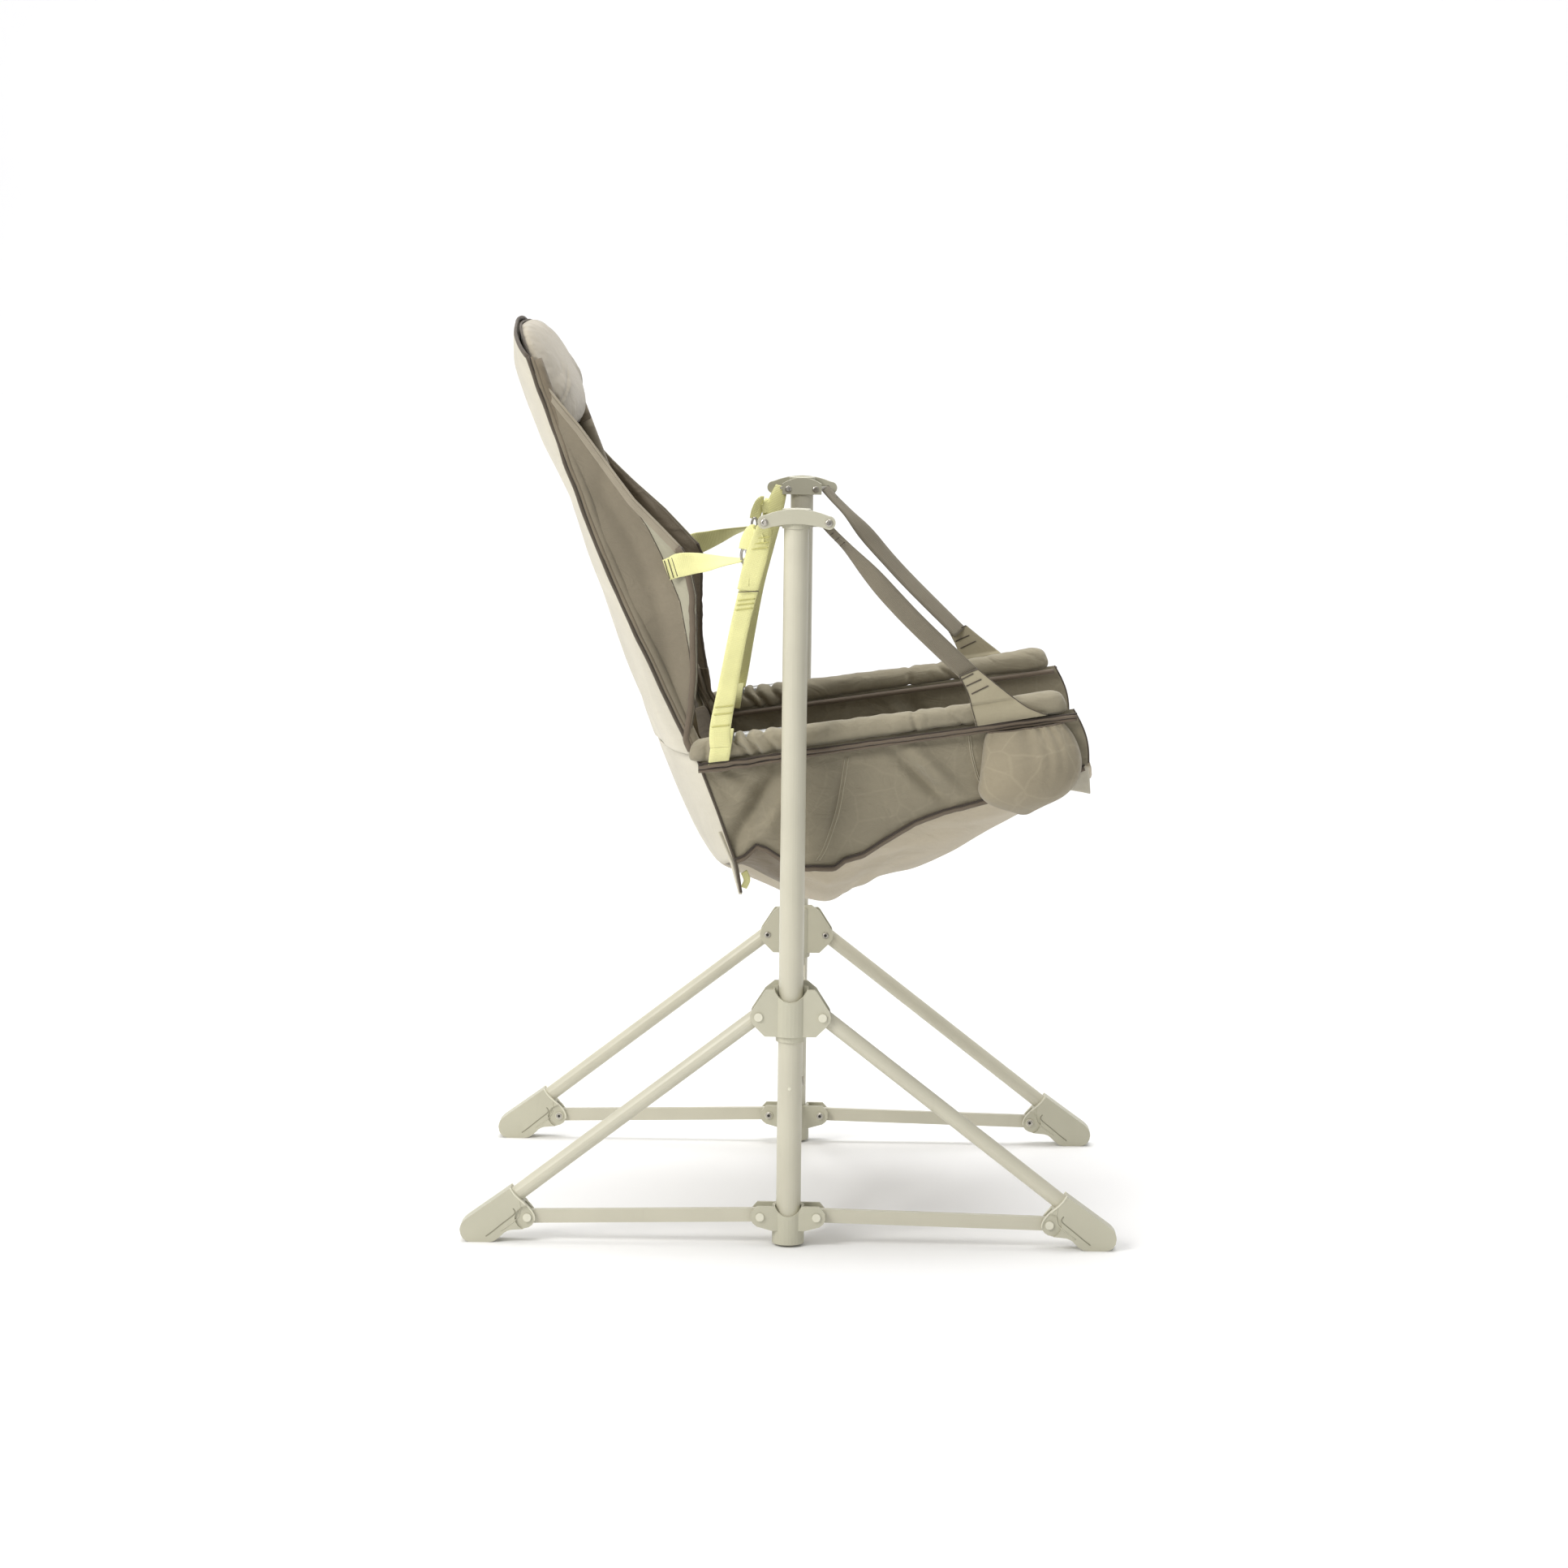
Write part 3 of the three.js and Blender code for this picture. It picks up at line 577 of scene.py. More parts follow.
def dress_cad():
    """Materials, rounded edges and smooth shading for the CAD nodes that stay in view."""
    for name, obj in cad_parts.items():
        key = max((k for k in CAD_LOOKS if name.startswith(k)), key=len, default=None)
        if key is None:
            continue
        obj.data.materials.clear()
        obj.data.materials.append(CAD_LOOKS[key])
        obj.data.shade_smooth()
        modify(obj, "BEVEL", width=ROUNDED.get(key, 0.35) * MM, segments=3 if key in ROUNDED else 2,
               limit_method="ANGLE", angle_limit=math.radians(32), harden_normals=True)
        modify(obj, "WEIGHTED_NORMAL", keep_sharp=True)


def dome(name, centre, normal, radius, height, material, recess=False):
    """A rivet or screw head: a low dome, with a hexagon socket where asked, its inside painted
    near-black as painted shade.
    """
    n = Vector(normal).normalized()
    a = n.orthogonal().normalized()
    b = n.cross(a)
    rings = [(0.0, 1.0), (0.35, 1.0), (0.75, 0.88), (0.95, 0.62)]
    if recess:
        rings += [(1.0, 0.5), (0.35, 0.48)]
    sides = 24
    verts = []
    for h, r in rings:
        for k in range(sides):
            t = 2 * math.pi * k / sides
            rr = r
            if recess and r <= 0.5:
                rr = r * math.cos(math.pi / 6) / math.cos((t % (math.pi / 3)) - math.pi / 6)
            verts.append(Vector(centre) + n * (height * h)
                         + (a * math.cos(t) + b * math.sin(t)) * (radius * rr))
    faces = [(i * sides + k, i * sides + (k + 1) % sides, (i + 1) * sides + (k + 1) % sides,
              (i + 1) * sides + k) for i in range(len(rings) - 1) for k in range(sides)]
    last = (len(rings) - 1) * sides
    if recess:
        faces.append(tuple(last + k for k in range(sides)))
    else:
        verts.append(Vector(centre) + n * height)
        faces += [(last + k, last + (k + 1) % sides, len(verts) - 1) for k in range(sides)]
    faces.append(tuple(reversed(range(sides))))
    obj = closed_object(name, verts, faces, None, material)
    if recess:
        # The socket's faces get the near-black paint: painted shade in the recess.
        obj.data.materials.append(SOCKET_SHADE)
        for poly in obj.data.polygons:
            middle = (poly.center - Vector(centre)).dot(n) / height
            rim = (poly.center - Vector(centre) - n * (height * middle)).length / radius
            poly.material_index = 1 if rim < 0.52 else 0
        obj.data.shade_flat()
    return obj


def screw(name, place, facing, radius, height, body):
    """A socket screw or rivet head that moves with a body."""
    head = dome(name, place, facing, radius, height, STEEL, True)
    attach(head, body)


def build_fasteners():
    """Screws of the hubs, feet and brackets, and the post's rivet and button."""
    for side, s in SIDES.items():
        y = s * POST_Y
        out, into = Vector((0, s, 0)), Vector((0, -s, 0))
        post = f"frame_{side}"
        for end, e in ENDS.items():
            tag = f"{end}_{side}"
            screw(f"LowerScrew_{tag}", (e * 0.0344, y - s * 0.0174, 0.037), into, 0.0044, 0.002,
                  post)
            screw(f"HubScrew_{tag}", (e * 0.0389, y - s * 0.0151, 0.284), into, 0.0044, 0.002,
                  f"slider_{side}")
            screw(f"FootScrew_{tag}", (e * 0.318, y - s * 0.0124, 0.031), into, 0.0042, 0.0016,
                  f"leg_{end}_{side}")
            screw(f"BracketScrew_{tag}", (e * 0.0385, y + s * 0.0210, 0.883), out, 0.0046, 0.0022,
                  post)
            screw(f"BracketInnerScrew_{tag}", (e * 0.018, y - s * 0.0190, 0.883), into, 0.0044,
                  0.0020, post)
        screw(f"PostRivet_{side}", (0.0, y - s * 0.0147, 0.853), into, 0.0036, 0.0014, post)
        plug = dome(f"PostButton_{side}", (0.0, y + s * 0.0147, 0.196), out, 0.0022, 0.0008, RIVET)
        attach(plug, post)


def build_boot_lines():
    """The raised collar lip, in the lighter rivet paint as a painted highlight, and the hooked groove
    line, in darker paint as painted shade, on each foot.
    """
    lip = [(0.3385, 0.0675), (0.3335, 0.0600), (0.3270, 0.0535), (0.3215, 0.0490),
           (0.3140, 0.0410), (0.3095, 0.0335), (0.3090, 0.0270)]
    inner = [(0.3275, 0.0530), (0.3262, 0.0440), (0.3270, 0.0370), (0.3300, 0.0300),
             (0.3400, 0.0215), (0.3500, 0.0145)]
    hook = [(0.3350, 0.0425), (0.3325, 0.0385), (0.3350, 0.0340), (0.3480, 0.0235),
            (0.3600, 0.0135), (0.3680, 0.0075)]
    for side, s in SIDES.items():
        for end, e in ENDS.items():
            made = []
            # Lip in the lighter rivet paint as a painted highlight; hook in the darker groove paint as
            # painted shade.
            for label, line, r, mat in (("Lip", lip, 0.0011, RIVET),
                                        ("Inner", inner, 0.0009, PLASTIC),
                                        ("Hook", hook, 0.0008, GROOVE_SHADE)):
                for face, off in (("out", 0.0128), ("in", -0.0128)):
                    pts = curve_points([(e * x, s * (POST_Y + off), z) for x, z in line], 22)
                    if label != "Hook":
                        pts = [p if math.hypot(abs(p.x) - 0.318, p.z - 0.031) > 0.0152
                               else Vector((p.x, s * (POST_Y + off * 0.78), p.z)) for p in pts]
                    made.append(cord_tube(f"t{label}{face}", pts, r, mat, sides=6))
            lines = join(f"BootLines_{end}_{side}", made)
            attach(lines, f"leg_{end}_{side}")


# ------------------------------------------------------------------------- the seat

# Edges of the back and the front edges of its wings, as (height, x).
BACK_EDGE = [(0.424, -0.066), (0.462, -0.073), (0.526, -0.096), (0.589, -0.121),
             (0.624, -0.138), (0.721, -0.184), (0.818, -0.230), (0.914, -0.269),
             (1.009, -0.305), (1.076, -0.330), (1.120, -0.346)]
RIDGES = {
    -1: [(0.600, -0.129), (0.617, -0.127), (0.650, -0.122), (0.690, -0.119), (0.731, -0.120),
         (0.790, -0.121), (0.830, -0.130), (0.846, -0.139), (0.868, -0.161), (0.903, -0.197),
         (0.942, -0.228), (0.988, -0.263), (1.020, -0.291), (1.055, -0.320)],
    1: [(0.600, -0.117), (0.630, -0.119), (0.665, -0.126), (0.690, -0.130), (0.758, -0.131),
        (0.797, -0.130), (0.810, -0.136), (0.857, -0.181), (0.892, -0.220), (0.922, -0.251),
        (0.945, -0.272), (0.962, -0.287)],
}
APEX = {-1: 0.846, 1: 0.812}        # height where the reclining strap pulls each wing out
# Seam between the side panels and the seat bottom, as (x, height).
SEAM = [(-0.072, 0.467), (-0.060, 0.471), (-0.045, 0.486), (-0.032, 0.482), (-0.014, 0.470),
        (0.008, 0.460), (0.050, 0.460), (0.063, 0.470), (0.085, 0.477), (0.115, 0.497),
        (0.147, 0.517), (0.182, 0.531), (0.225, 0.543), (0.290, 0.562), (0.357, 0.590)]
SEAT_MIDDLE = [(-0.176, 0.594), (-0.146, 0.520), (-0.101, 0.441), (-0.045, 0.408),
               (0.035, 0.384), (0.078, 0.407), (0.155, 0.428), (0.227, 0.468), (0.300, 0.512),
               (0.368, 0.550)]
# How far the back's middle hangs behind its edges, as (height, depth).
SAG = [(0.594, 0.053), (0.655, 0.047), (0.737, 0.038), (0.819, 0.029), (0.900, 0.024),
       (0.962, 0.034), (1.038, 0.034), (1.058, 0.033), (1.088, 0.022), (1.112, 0.012)]


def back_half(z):
    """Half width of the back at a height, at the outside of its poles."""
    return 0.249 - 0.031 * smooth(z, 0.76, 1.09)


def arm_height(x):
    """Height of the arms' axes."""
    return 0.602 + (x + 0.106) * ARM_SLOPE


def arm_radius(x):
    """Radius of the arm pads."""
    return lerp(0.0175, 0.0150, smooth(x, -0.10, 0.20)) + 0.0028 * smooth(x, 0.22, 0.31)


def seat_row(u):
    """Edge of the seat sheet: down the back's low corner, then forward along the seam."""
    if u < LOW_SHARE:
        z = lerp(WAIST, SEAM[0][1], u / LOW_SHARE)
        return along(BACK_EDGE, z) + 0.003, z
    x = lerp(SEAM[0][0], SEAM[-1][0], (u - LOW_SHARE) / (1 - LOW_SHARE))
    return x, along(SEAM, x)


def back_shell(u, v, out=1.0):
    """Back of the chair: u up from the waist, v across; out scales how far it sags."""
    a = 2 * v - 1
    mid = 1 - a * a
    z = lerp(WAIST, 1.069 + 0.042 * mid**0.8, u)
    y = a * back_half(z)
    dent = 0.0022 * ripple(0, y, z, 9.0, 3.1) + 0.0010 * ripple(0, y, z, 26.0, 7.7)
    fold = 0.0025 * math.sin(40 * (z - 0.6) + 9 * abs(a)) * (1 - u) ** 2
    return along(BACK_EDGE, z) - along(SAG, z) * out * mid**0.7 - (dent + fold) * mid, y, z


def seat_piece(obj, slot, side="right", held=None, rests_on=(), replaces=None, body=None,
               folds=False):
    """Puts one fabric piece on its body and hides the part it replaces; slot is not used; folds is for
    those across the middle.
    """
    if replaces:
        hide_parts(replaces)
    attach(obj, body or f"seat_{side}")
    if folds:
        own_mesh(obj)


def fabric(name, fn, nu, nv, materials, thick, slot, side="right", inner=0, levels=1, **place):
    """A sheet of fabric on a surface; place goes on to seat_piece."""
    obj = cloth_sheet(surface(name, fn, nu, nv, materials), thick, inner, levels)
    seat_piece(obj, slot, side, **place)


def build_back():
    """Outer back shell with the head's arch, its piping, hem and tab, and a dark sheet over its inside
    as painted shade.
    """
    fabric("BackShell", back_shell, 60, 48, [CREAM, INNER], 0.0018, "cream_fabric", inner=1,
           held="stretched", replaces="back_panel", body="back_right", folds=True,
           rests_on=["back_pole_right", "back_pole_left"])

    # Dark sheet just inside the back shell, in the painted-shade cloth.
    def back_shade_sheet(u, v):
        x, y, z = back_shell(0.985 * u, 0.03 + 0.94 * v, 0.80)
        return x + 0.002 + 0.003 * ripple(0, y, z, 14, 1.3), y, z

    fabric("BackShadeSheet", back_shade_sheet, 44, 32, [PAINTED_SHADE], 0.0030, "taupe_fabric", held="stretched",
           rests_on=["BackShell"], body="back_right", folds=True)

    arch = [Vector(back_shell(1.0, j / 60)) + Vector((0.002, 0, 0.0005)) for j in range(61)]
    hem = cord_tube("HeadHem", arch, 0.0034, PIPING, 8, 0.6, Vector((0, 0, 1)))
    tab = surface("HeadTab", lambda u, v: Vector(back_shell(0.87 - 0.12 * u, 0.5 + 0.03 * (v - 0.5)))
                  + Vector((-0.0015 - 0.003 * math.sin(math.pi * u), 0, 0)), 20, 4, [YELLOW])
    cloth_sheet(tab, 0.0016)
    for obj, slot in ((hem, "taupe_fabric"), (tab, "yellow_webbing")):
        seat_piece(obj, slot, body="back_right", folds=True)

    for side, s in SIDES.items():
        edge = [(along(BACK_EDGE, z) + 0.0014 * ripple(0, s, z, 34, 2.2),
                 s * (back_half(z) + 0.001), z) for z in [0.598 + 0.474 * i / 60 for i in range(61)]]
        pipe = cord_tube(f"BackPiping_{side}", edge, 0.0032, PIPING, 8, 0.75)
        inside = [(x + 0.0055, y + s * 0.0008, z) for x, y, z in edge]
        pipe = join(f"BackPiping_{side}", [pipe, cord_tube("tSecond", inside, 0.0020, GUSSET, 8)])
        seat_piece(pipe, "taupe_fabric", body=f"back_{side}")
        pole = [(along(BACK_EDGE, z) + 0.008, s * (back_half(z) - 0.006), z)
                for z in [0.598 + 0.470 * i / 40 for i in range(41)]]
        # The sleeve's top, beside the pillow, is in the darker gusset cloth as painted shade.
        sleeve = join(f"PoleSleeve_{side}", [cord_tube("tLow", pole[:33], 0.0086, TAUPE, 14),
                                            cord_tube("tHeadShade", pole[32:], 0.0086, GUSSET, 14)])
        seat_piece(sleeve, "taupe_fabric", body=f"back_{side}")


def build_rear_gussets():
    """Creased cloth between the arm's rear end and the back's low corner, in the dark painted-shade
    cloth.
    """
    reach = [(0.540, -0.078), (0.575, -0.088), (0.600, -0.104), (0.618, -0.116), (0.648, -0.121)]
    for side, s in SIDES.items():
        def gusset(u, v, s=s):
            z = lerp(0.648, 0.540, u)
            x = lerp(along(BACK_EDGE, z) + 0.001, along(reach, z), v)
            folds = 0.0035 * math.sin(11 * v + 5 * u) + 0.0015 * math.sin(24 * v)
            return x, s * (0.2350 + folds * math.sin(math.pi * v)), z

        fabric(f"RearGusset_{side}", gusset, 40, 30, [PAINTED_SHADE], 0.0016, "taupe_fabric", side,
               held="stretched", rests_on=[f"arm_pole_{side}"])


def build_wings():
    """Shoulder gussets: a dark panel, a pale front panel, a dark sheet inside as painted shade, and
    bound edges.
    """
    pale = [(0.64, -0.119), (0.722, -0.129), (0.78, -0.140), (0.835, -0.163), (0.87, -0.181),
            (0.905, -0.205)]

    foot = 0.600
    for side, s in SIDES.items():
        ridge_line, apex = RIDGES[s], APEX[s]
        top = ridge_line[-1][0]

        def wing(u, v, s=s, ridge_line=ridge_line, apex=apex, top=top):
            z = lerp(foot, top, u)
            rear = along(BACK_EDGE, z) + 0.002
            front = max(along(ridge_line, z), rear + 0.003)
            x = lerp(rear, front, v)
            belly = math.sin(math.pi * v) * math.sin(math.pi * min(1, u * 1.1))
            y = back_half(z) + 0.0015 - 0.007 * belly + 0.0022 * ripple(x, 0, z, 16, 5.0 + s)
            y -= 0.003 * math.exp(-((x - along(pale, z) + 0.028) / 0.012) ** 2) * smooth(z, 0.62, 0.7)
            pull = smooth(z, 0.70, apex - 0.02) * (1 - smooth(z, apex + 0.01, apex + 0.15))
            return x, s * (y + 0.009 * smooth(v, 0.75, 1.0) * pull), z

        panel = surface(f"Wing_{side}", wing, 96, 48, [TAUPE, SAGE],
                        lambda c: 1 if 0.655 < c.z < 0.905 and c.x > along(pale, c.z) else 0)
        cloth_sheet(panel, 0.0016, levels=0)
        seat_piece(panel, "taupe_fabric", held="stretched", replaces=f"wing_{side}",
                   body=f"back_{side}", rests_on=[f"back_pole_{side}"])

        # Dark sheet just inside each wing, in the painted-shade cloth.
        def inside(u, v, s=s, wing=wing):
            x, y, z = wing(0.01 + 0.98 * u, 0.985 * v)
            return x, y - s * 0.0028, z

        fabric(f"WingShadeSheet_{side}", inside, 60, 24, [PAINTED_SHADE], 0.0012, "taupe_fabric", levels=0,
               held="stretched", rests_on=[f"Wing_{side}"], body=f"back_{side}")

        steps = 96
        edge = [Vector(wing(i / steps, 1.0)) for i in range(steps + 1)]
        cutoff = round(steps * ((apex - foot) / (top - foot)))
        ridge = [p + Vector((-0.0028, s * 0.0010, -0.0040)) for p in edge[cutoff:]]
        down = [Vector((-0.70, s * 0.15, -0.70))] * 2
        parts = [web("tRidge", ridge, down, 0.009, BINDING, 0.0014, 60, [0.009, 0.008, 0.007, 0.005]),
                 cord_tube("tRoll", edge[cutoff:], 0.0015, BINDING, 8)]
        front = [p + Vector((0.0012 * ripple(0, 0, i, 0.4), 0, 0))
                 for i, p in enumerate(edge[:cutoff + 1])]
        for step, inset, r, mat in ((-0.0045, 0.0012, 0.0038, BROWN), (-0.001, -0.003, 0.0024, PIPING)):
            pts = [p + Vector((step, s * inset, 0)) for p in front]
            parts.append(cord_tube("tFront", pts, r, mat, 10, 0.65, Vector((1, 0, 0))))
        seam = []
        for i in range(41):
            z = 0.655 + 0.25 * i / 40
            rear = along(BACK_EDGE, z) + 0.002
            v = (along(pale, z) - rear) / max(0.004, along(ridge_line, z) - rear)
            seam.append(Vector(wing((z - foot) / (top - foot), min(1, max(0, v))))
                        + Vector((0, s * 0.0010, 0)))
        parts.append(cord_tube("tSeam", seam, 0.0006, THREAD_D, 6))
        trim = join(f"WingTrim_{side}", parts)
        seat_piece(trim, "taupe_fabric", body=f"back_{side}")


def pan(u, v):
    """The seat sheet: lower back and seat bottom in one J-shaped sagging surface."""
    a = 2 * v - 1
    ex, ez = seat_row(u)
    mx, mz = on_row(SEAT_MIDDLE, u)
    t = (1 - a * a) ** 0.85
    x, z = lerp(ex, mx, t), lerp(ez, mz, t)
    y = a * (PANEL_Y + 0.002)
    k = t * (1 - 0.6 * smooth(u, 0.9, 1.0))
    z += k * (0.0035 * ripple(x, y, 0, 11, 1.0) + 0.0022 * ripple(x, y, 0, 27, 4.0))
    z -= k * 0.006 * math.exp(-((x - 0.062 - 0.25 * abs(y)) / 0.010) ** 2)
    drag = math.exp(-((abs(a) - 0.86) / 0.10) ** 2)
    z -= 0.0035 * drag * math.sin(70 * x + 20 * abs(a)) * smooth(u, 0.25, 0.4)
    x += k * 0.003 * ripple(y, z, 0, 14, 9.0)
    return x, y, z


def build_seat_sheet():
    """The seat sheet, a dark sheet over its inside as painted shade, and its front hem."""
    rows, columns = 100, 60
    seat = surface("SeatSheet", pan, rows, columns, [BOTTOM, INNER, CREAM, GUSSET])
    for k, poly in enumerate(seat.data.polygons):
        u, v = (k // columns) / rows, (k % columns) / columns
        if u < LOW_SHARE:
            poly.material_index = 2
        elif poly.center.x < 0.010 and abs(2 * v - 1) > 0.72:
            poly.material_index = 3
    cloth_sheet(seat, 0.0020)
    seat_piece(seat, "cream_fabric", held="hung", replaces="seat_pan",
               rests_on=["arm_pole_right", "arm_pole_left"], folds=True)

    # Dark sheet just above the seat sheet's inside, in the painted-shade cloth.
    def seat_shade_sheet(u, v):
        x, y, z = pan(0.96 * u, 0.02 + 0.96 * v)
        return x + 0.004 * (1 - u), y, z + 0.0045 + 0.002 * ripple(x, y, z, 16, 6)

    fabric("SeatShadeSheet", seat_shade_sheet, 50, 36, [PAINTED_SHADE], 0.0030, "taupe_fabric", held="laid",
           rests_on=["SeatSheet"], folds=True)

    hem = cord_tube("FrontHem", [pan(1.0, j / 50) for j in range(51)], 0.0030, BOTTOM, 8, 0.7,
                    Vector((0, 0, 1)))
    seat_piece(hem, "cream_fabric", folds=True)


def build_seat_edges():
    """Seam piping along the side panels, with a near-black cord in the seam as painted shadow, and the
    loose corners in front and below.
    """
    for side, s in SIDES.items():
        wall = s * (PANEL_Y + 0.0035)
        seam = [Vector((x, wall, along(SEAM, x) + 0.0010 * ripple(x, 0, s, 90, 2.0)))
                for x in [lerp(SEAM[0][0], 0.352, i / 110) for i in range(111)]]
        bound = [p + Vector((0, -s * 0.0005, -0.0036)) for p in seam]
        edge = [(along(BACK_EDGE, z) + 0.0035, wall, z) for z in
                [lerp(0.596, 0.426, i / 30) for i in range(31)]]
        piping = join(f"SeatPiping_{side}", [
            cord_tube("tSeam", [p + Vector((0, s * 0.0016, 0)) for p in seam], 0.0012, SEAM_SHADOW, 6),
            cord_tube("tBound", bound, 0.0033, BROWN, 10, 0.55, Vector((0, 0, 1))),
            cord_tube("tEdge", edge, 0.0024, PIPING, 8, 0.75)])
        seat_piece(piping, "taupe_fabric", side)

        def corner(u, v, s=s):
            z = lerp(0.500, 0.423, u)
            x = along(BACK_EDGE, z) - 0.006 * (1 - u) + 0.012 * v * (1 - 0.6 * u)
            return x, s * (PANEL_Y + 0.001 - 0.016 * v * (1 - u)), z

        def front(u, v, s=s):
            x = lerp(lerp(0.334, 0.3575, v), lerp(0.331, 0.3605, v), u)
            z = lerp(lerp(0.586, 0.589, v), lerp(0.557, 0.552, v), u)
            return x, s * (PANEL_Y - 0.002 - 0.003 * math.sin(math.pi * v) * u), z

        fabric(f"FrontCorner_{side}", front, 12, 10, [CREAM], 0.0026, "cream_fabric", side)
        fabric(f"LowCorner_{side}", corner, 16, 5, [CREAM], 0.0040, "cream_fabric", side)
        tab = web(f"LowTab_{side}", [(-0.060, s * 0.236, 0.450), (-0.056, s * 0.235, 0.440),
                                     (-0.060, s * 0.235, 0.430)], (0.8, 0.6, 0), 0.010, YELLOW,
                  0.0016, 10)
        seat_piece(tab, "yellow_webbing", side)


def side_wall(u, v, s):
    """Side panel between the seam and the arm, with its folds and its darted seam."""
    lx = lerp(-0.071, 0.357, u)
    tx = lerp(-0.116, 0.337, u)
    lz = along(SEAM, lx)
    x, z = lerp(lx, tx, v), lerp(lz, arm_height(tx) - 0.012, v)
    x += 0.006 * math.sin(math.pi * v) * smooth(u, 0.93, 1.0)
    fade = math.sin(math.pi * v)
    y = PANEL_Y + 0.006 * fade * (0.35 + 0.65 * math.sin(math.pi * u))
    y += 0.0035 * ripple(x * 0.7, 0, z * 1.5, 15, 8.0) * fade
    deep = x + 0.030 + 0.55 * (0.560 - z)
    y -= 0.016 * math.exp(-(deep / 0.013) ** 2) * fade
    y += 0.009 * math.exp(-((deep - 0.028) / 0.016) ** 2) * fade
    fan = math.atan2(z - 0.600, x + 0.125)
    y += 0.0022 * math.sin(16 * fan) * math.exp(-((x + 0.06) / 0.05) ** 2) * smooth(v, 0.3, 0.9)
    slant = (z - 0.560) + 0.95 * (x - 0.165)
    reach = math.exp(-((x - 0.165) / 0.050) ** 2)
    y -= 0.0120 * math.exp(-(slant / 0.011) ** 2) * reach * fade
    y += 0.0085 * math.exp(-((slant - 0.026) / 0.013) ** 2) * reach * fade
    tight = abs(x - along([(0.462, 0.026), (0.490, 0.040), (0.540, 0.053), (0.600, 0.062)], z))
    y -= 0.0045 * math.exp(-(tight / 0.0045) ** 2) * fade
    return x, s * y, z


def on_wall(x, z, s):
    """Point just off the side panel at a place seen from the side."""
    long, high, lift = 0.44, 0.12, 0.0014
    u, v = (x + 0.09) / long, 0.5
    for _ in range(12):
        px, _, pz = side_wall(min(1, max(0, u)), min(1, max(0, v)), s)
        u += (x - px) / long
        v += (z - pz) / high
    u, v = min(1, max(0, u)), min(1, max(0, v))
    return Vector((x, side_wall(u, v, s)[1] + s * lift, z))


def build_side_panels():
    """Quilted side walls between the arm and the seam, creased towards the corners."""
    dart = [(0.062, 0.594), (0.057, 0.560), (0.052, 0.530), (0.044, 0.503), (0.036, 0.480),
            (0.028, 0.466)]
    pocket = [(0.211, 0.622), (0.213, 0.605), (0.217, 0.588), (0.222, 0.572), (0.226, 0.563)]
    for side, s in SIDES.items():
        fabric(f"SidePanel_{side}", lambda u, v, s=s: side_wall(u, v, s), 150, 56, [TAUPE_CELLS],
               0.0022, "taupe_fabric", side, levels=0, held="stretched",
               rests_on=[f"arm_pole_{side}"], replaces=f"side_panel_{side}")

        parts = []
        for line, width, gap in ((dart, 0.0006, 0.0042), (pocket, 0.0007, 0.0022)):
            for shift in (0.0, gap):
                pts = [on_wall(q.x + shift, q.z, s) for q in
                       curve_points([(x, 0, z) for x, z in line], 24)]
                parts.append(cord_tube("tStitch", pts, width, THREAD_L, 6))
        front = [Vector(side_wall(1.0, i / 20, s)) for i in range(21)]
        parts.append(cord_tube("tFrontEdge", front, 0.0016, PIPING, 8, 0.7))
        trim = join(f"SideTrim_{side}", parts)
        seat_piece(trim, "taupe_fabric", side)


def arm_form(name, s, material):
    """Padded sleeve round an arm, slightly thin, ready to be inflated."""
    n, k = 110, 32
    start, stop = -0.128, 0.327
    verts = []
    for i in range(n + 1):
        t = i / n
        x = lerp(start, stop, t)
        end = min(t, 1 - t) * 22
        cap = math.sqrt(max(0.0, 1 - (1 - end) ** 2)) if end < 1 else 1.0
        r = (arm_radius(x) - 0.0020) * (0.50 + 0.50 * cap)
        for j in range(k):
            a = 2 * math.pi * j / k
            slope = 0.16 if t < 0.5 else -0.45 * smooth(x, 0.29, 0.334)
            verts.append((x + slope * r * math.cos(a), s * ARM_Y + r * math.sin(a) * 0.98,
                          arm_height(x) + r * math.cos(a)))
    return closed_object(name, verts, ring_faces(n + 1, k), None, material)


PILLOW_AT = Vector((-0.3135, 0.0, 1.0455))
PILLOW_LEAN = Matrix.Rotation(math.radians(-27), 3, "Y")
PILLOW_HALF = (0.188, 0.071)        # half width and half height at its seam


def pillow_rim(a, grow=1.0):
    """The pillow's seam: a rounded oblong whose sides draw in between its corners."""
    c, n = math.cos(a), math.sin(a)
    pull = 1 - 0.05 * math.sin(2 * a) ** 2
    return (math.copysign(abs(c) ** 0.62, c) * PILLOW_HALF[0] * pull * grow,
            math.copysign(abs(n) ** 0.68, n) * PILLOW_HALF[1] * grow)


def pillow_form():
    """Head pillow: crowned, its edge drawn in between the corners, leaning with the back."""
    nu, nv = 56, 30
    verts, faces = [], []
    for i in range(nu):
        for j in range(nv + 1):
            b = math.pi * j / nv - math.pi / 2
            py, pz = pillow_rim(2 * math.pi * i / nu, math.cos(b) ** 0.75)
            deep = math.copysign(abs(math.sin(b)) ** 0.9, math.sin(b))
            p = PILLOW_LEAN @ Vector((deep * (0.011 if deep < 0 else 0.0225), py, pz))
            verts.append(p + PILLOW_AT)
    for i in range(nu):
        for j in range(nv):
            a, b = i * (nv + 1) + j, ((i + 1) % nu) * (nv + 1) + j
            faces.append((a, b, b + 1, a + 1))
    obj = new_object("Pillow", verts, faces, None, PILLOW)
    bm = bmesh.new()
    bm.from_mesh(obj.data)
    bmesh.ops.remove_doubles(bm, verts=bm.verts, dist=1e-6)
    bmesh.ops.recalc_face_normals(bm, faces=bm.faces)
    bm.to_mesh(obj.data)
    bm.free()
    return obj


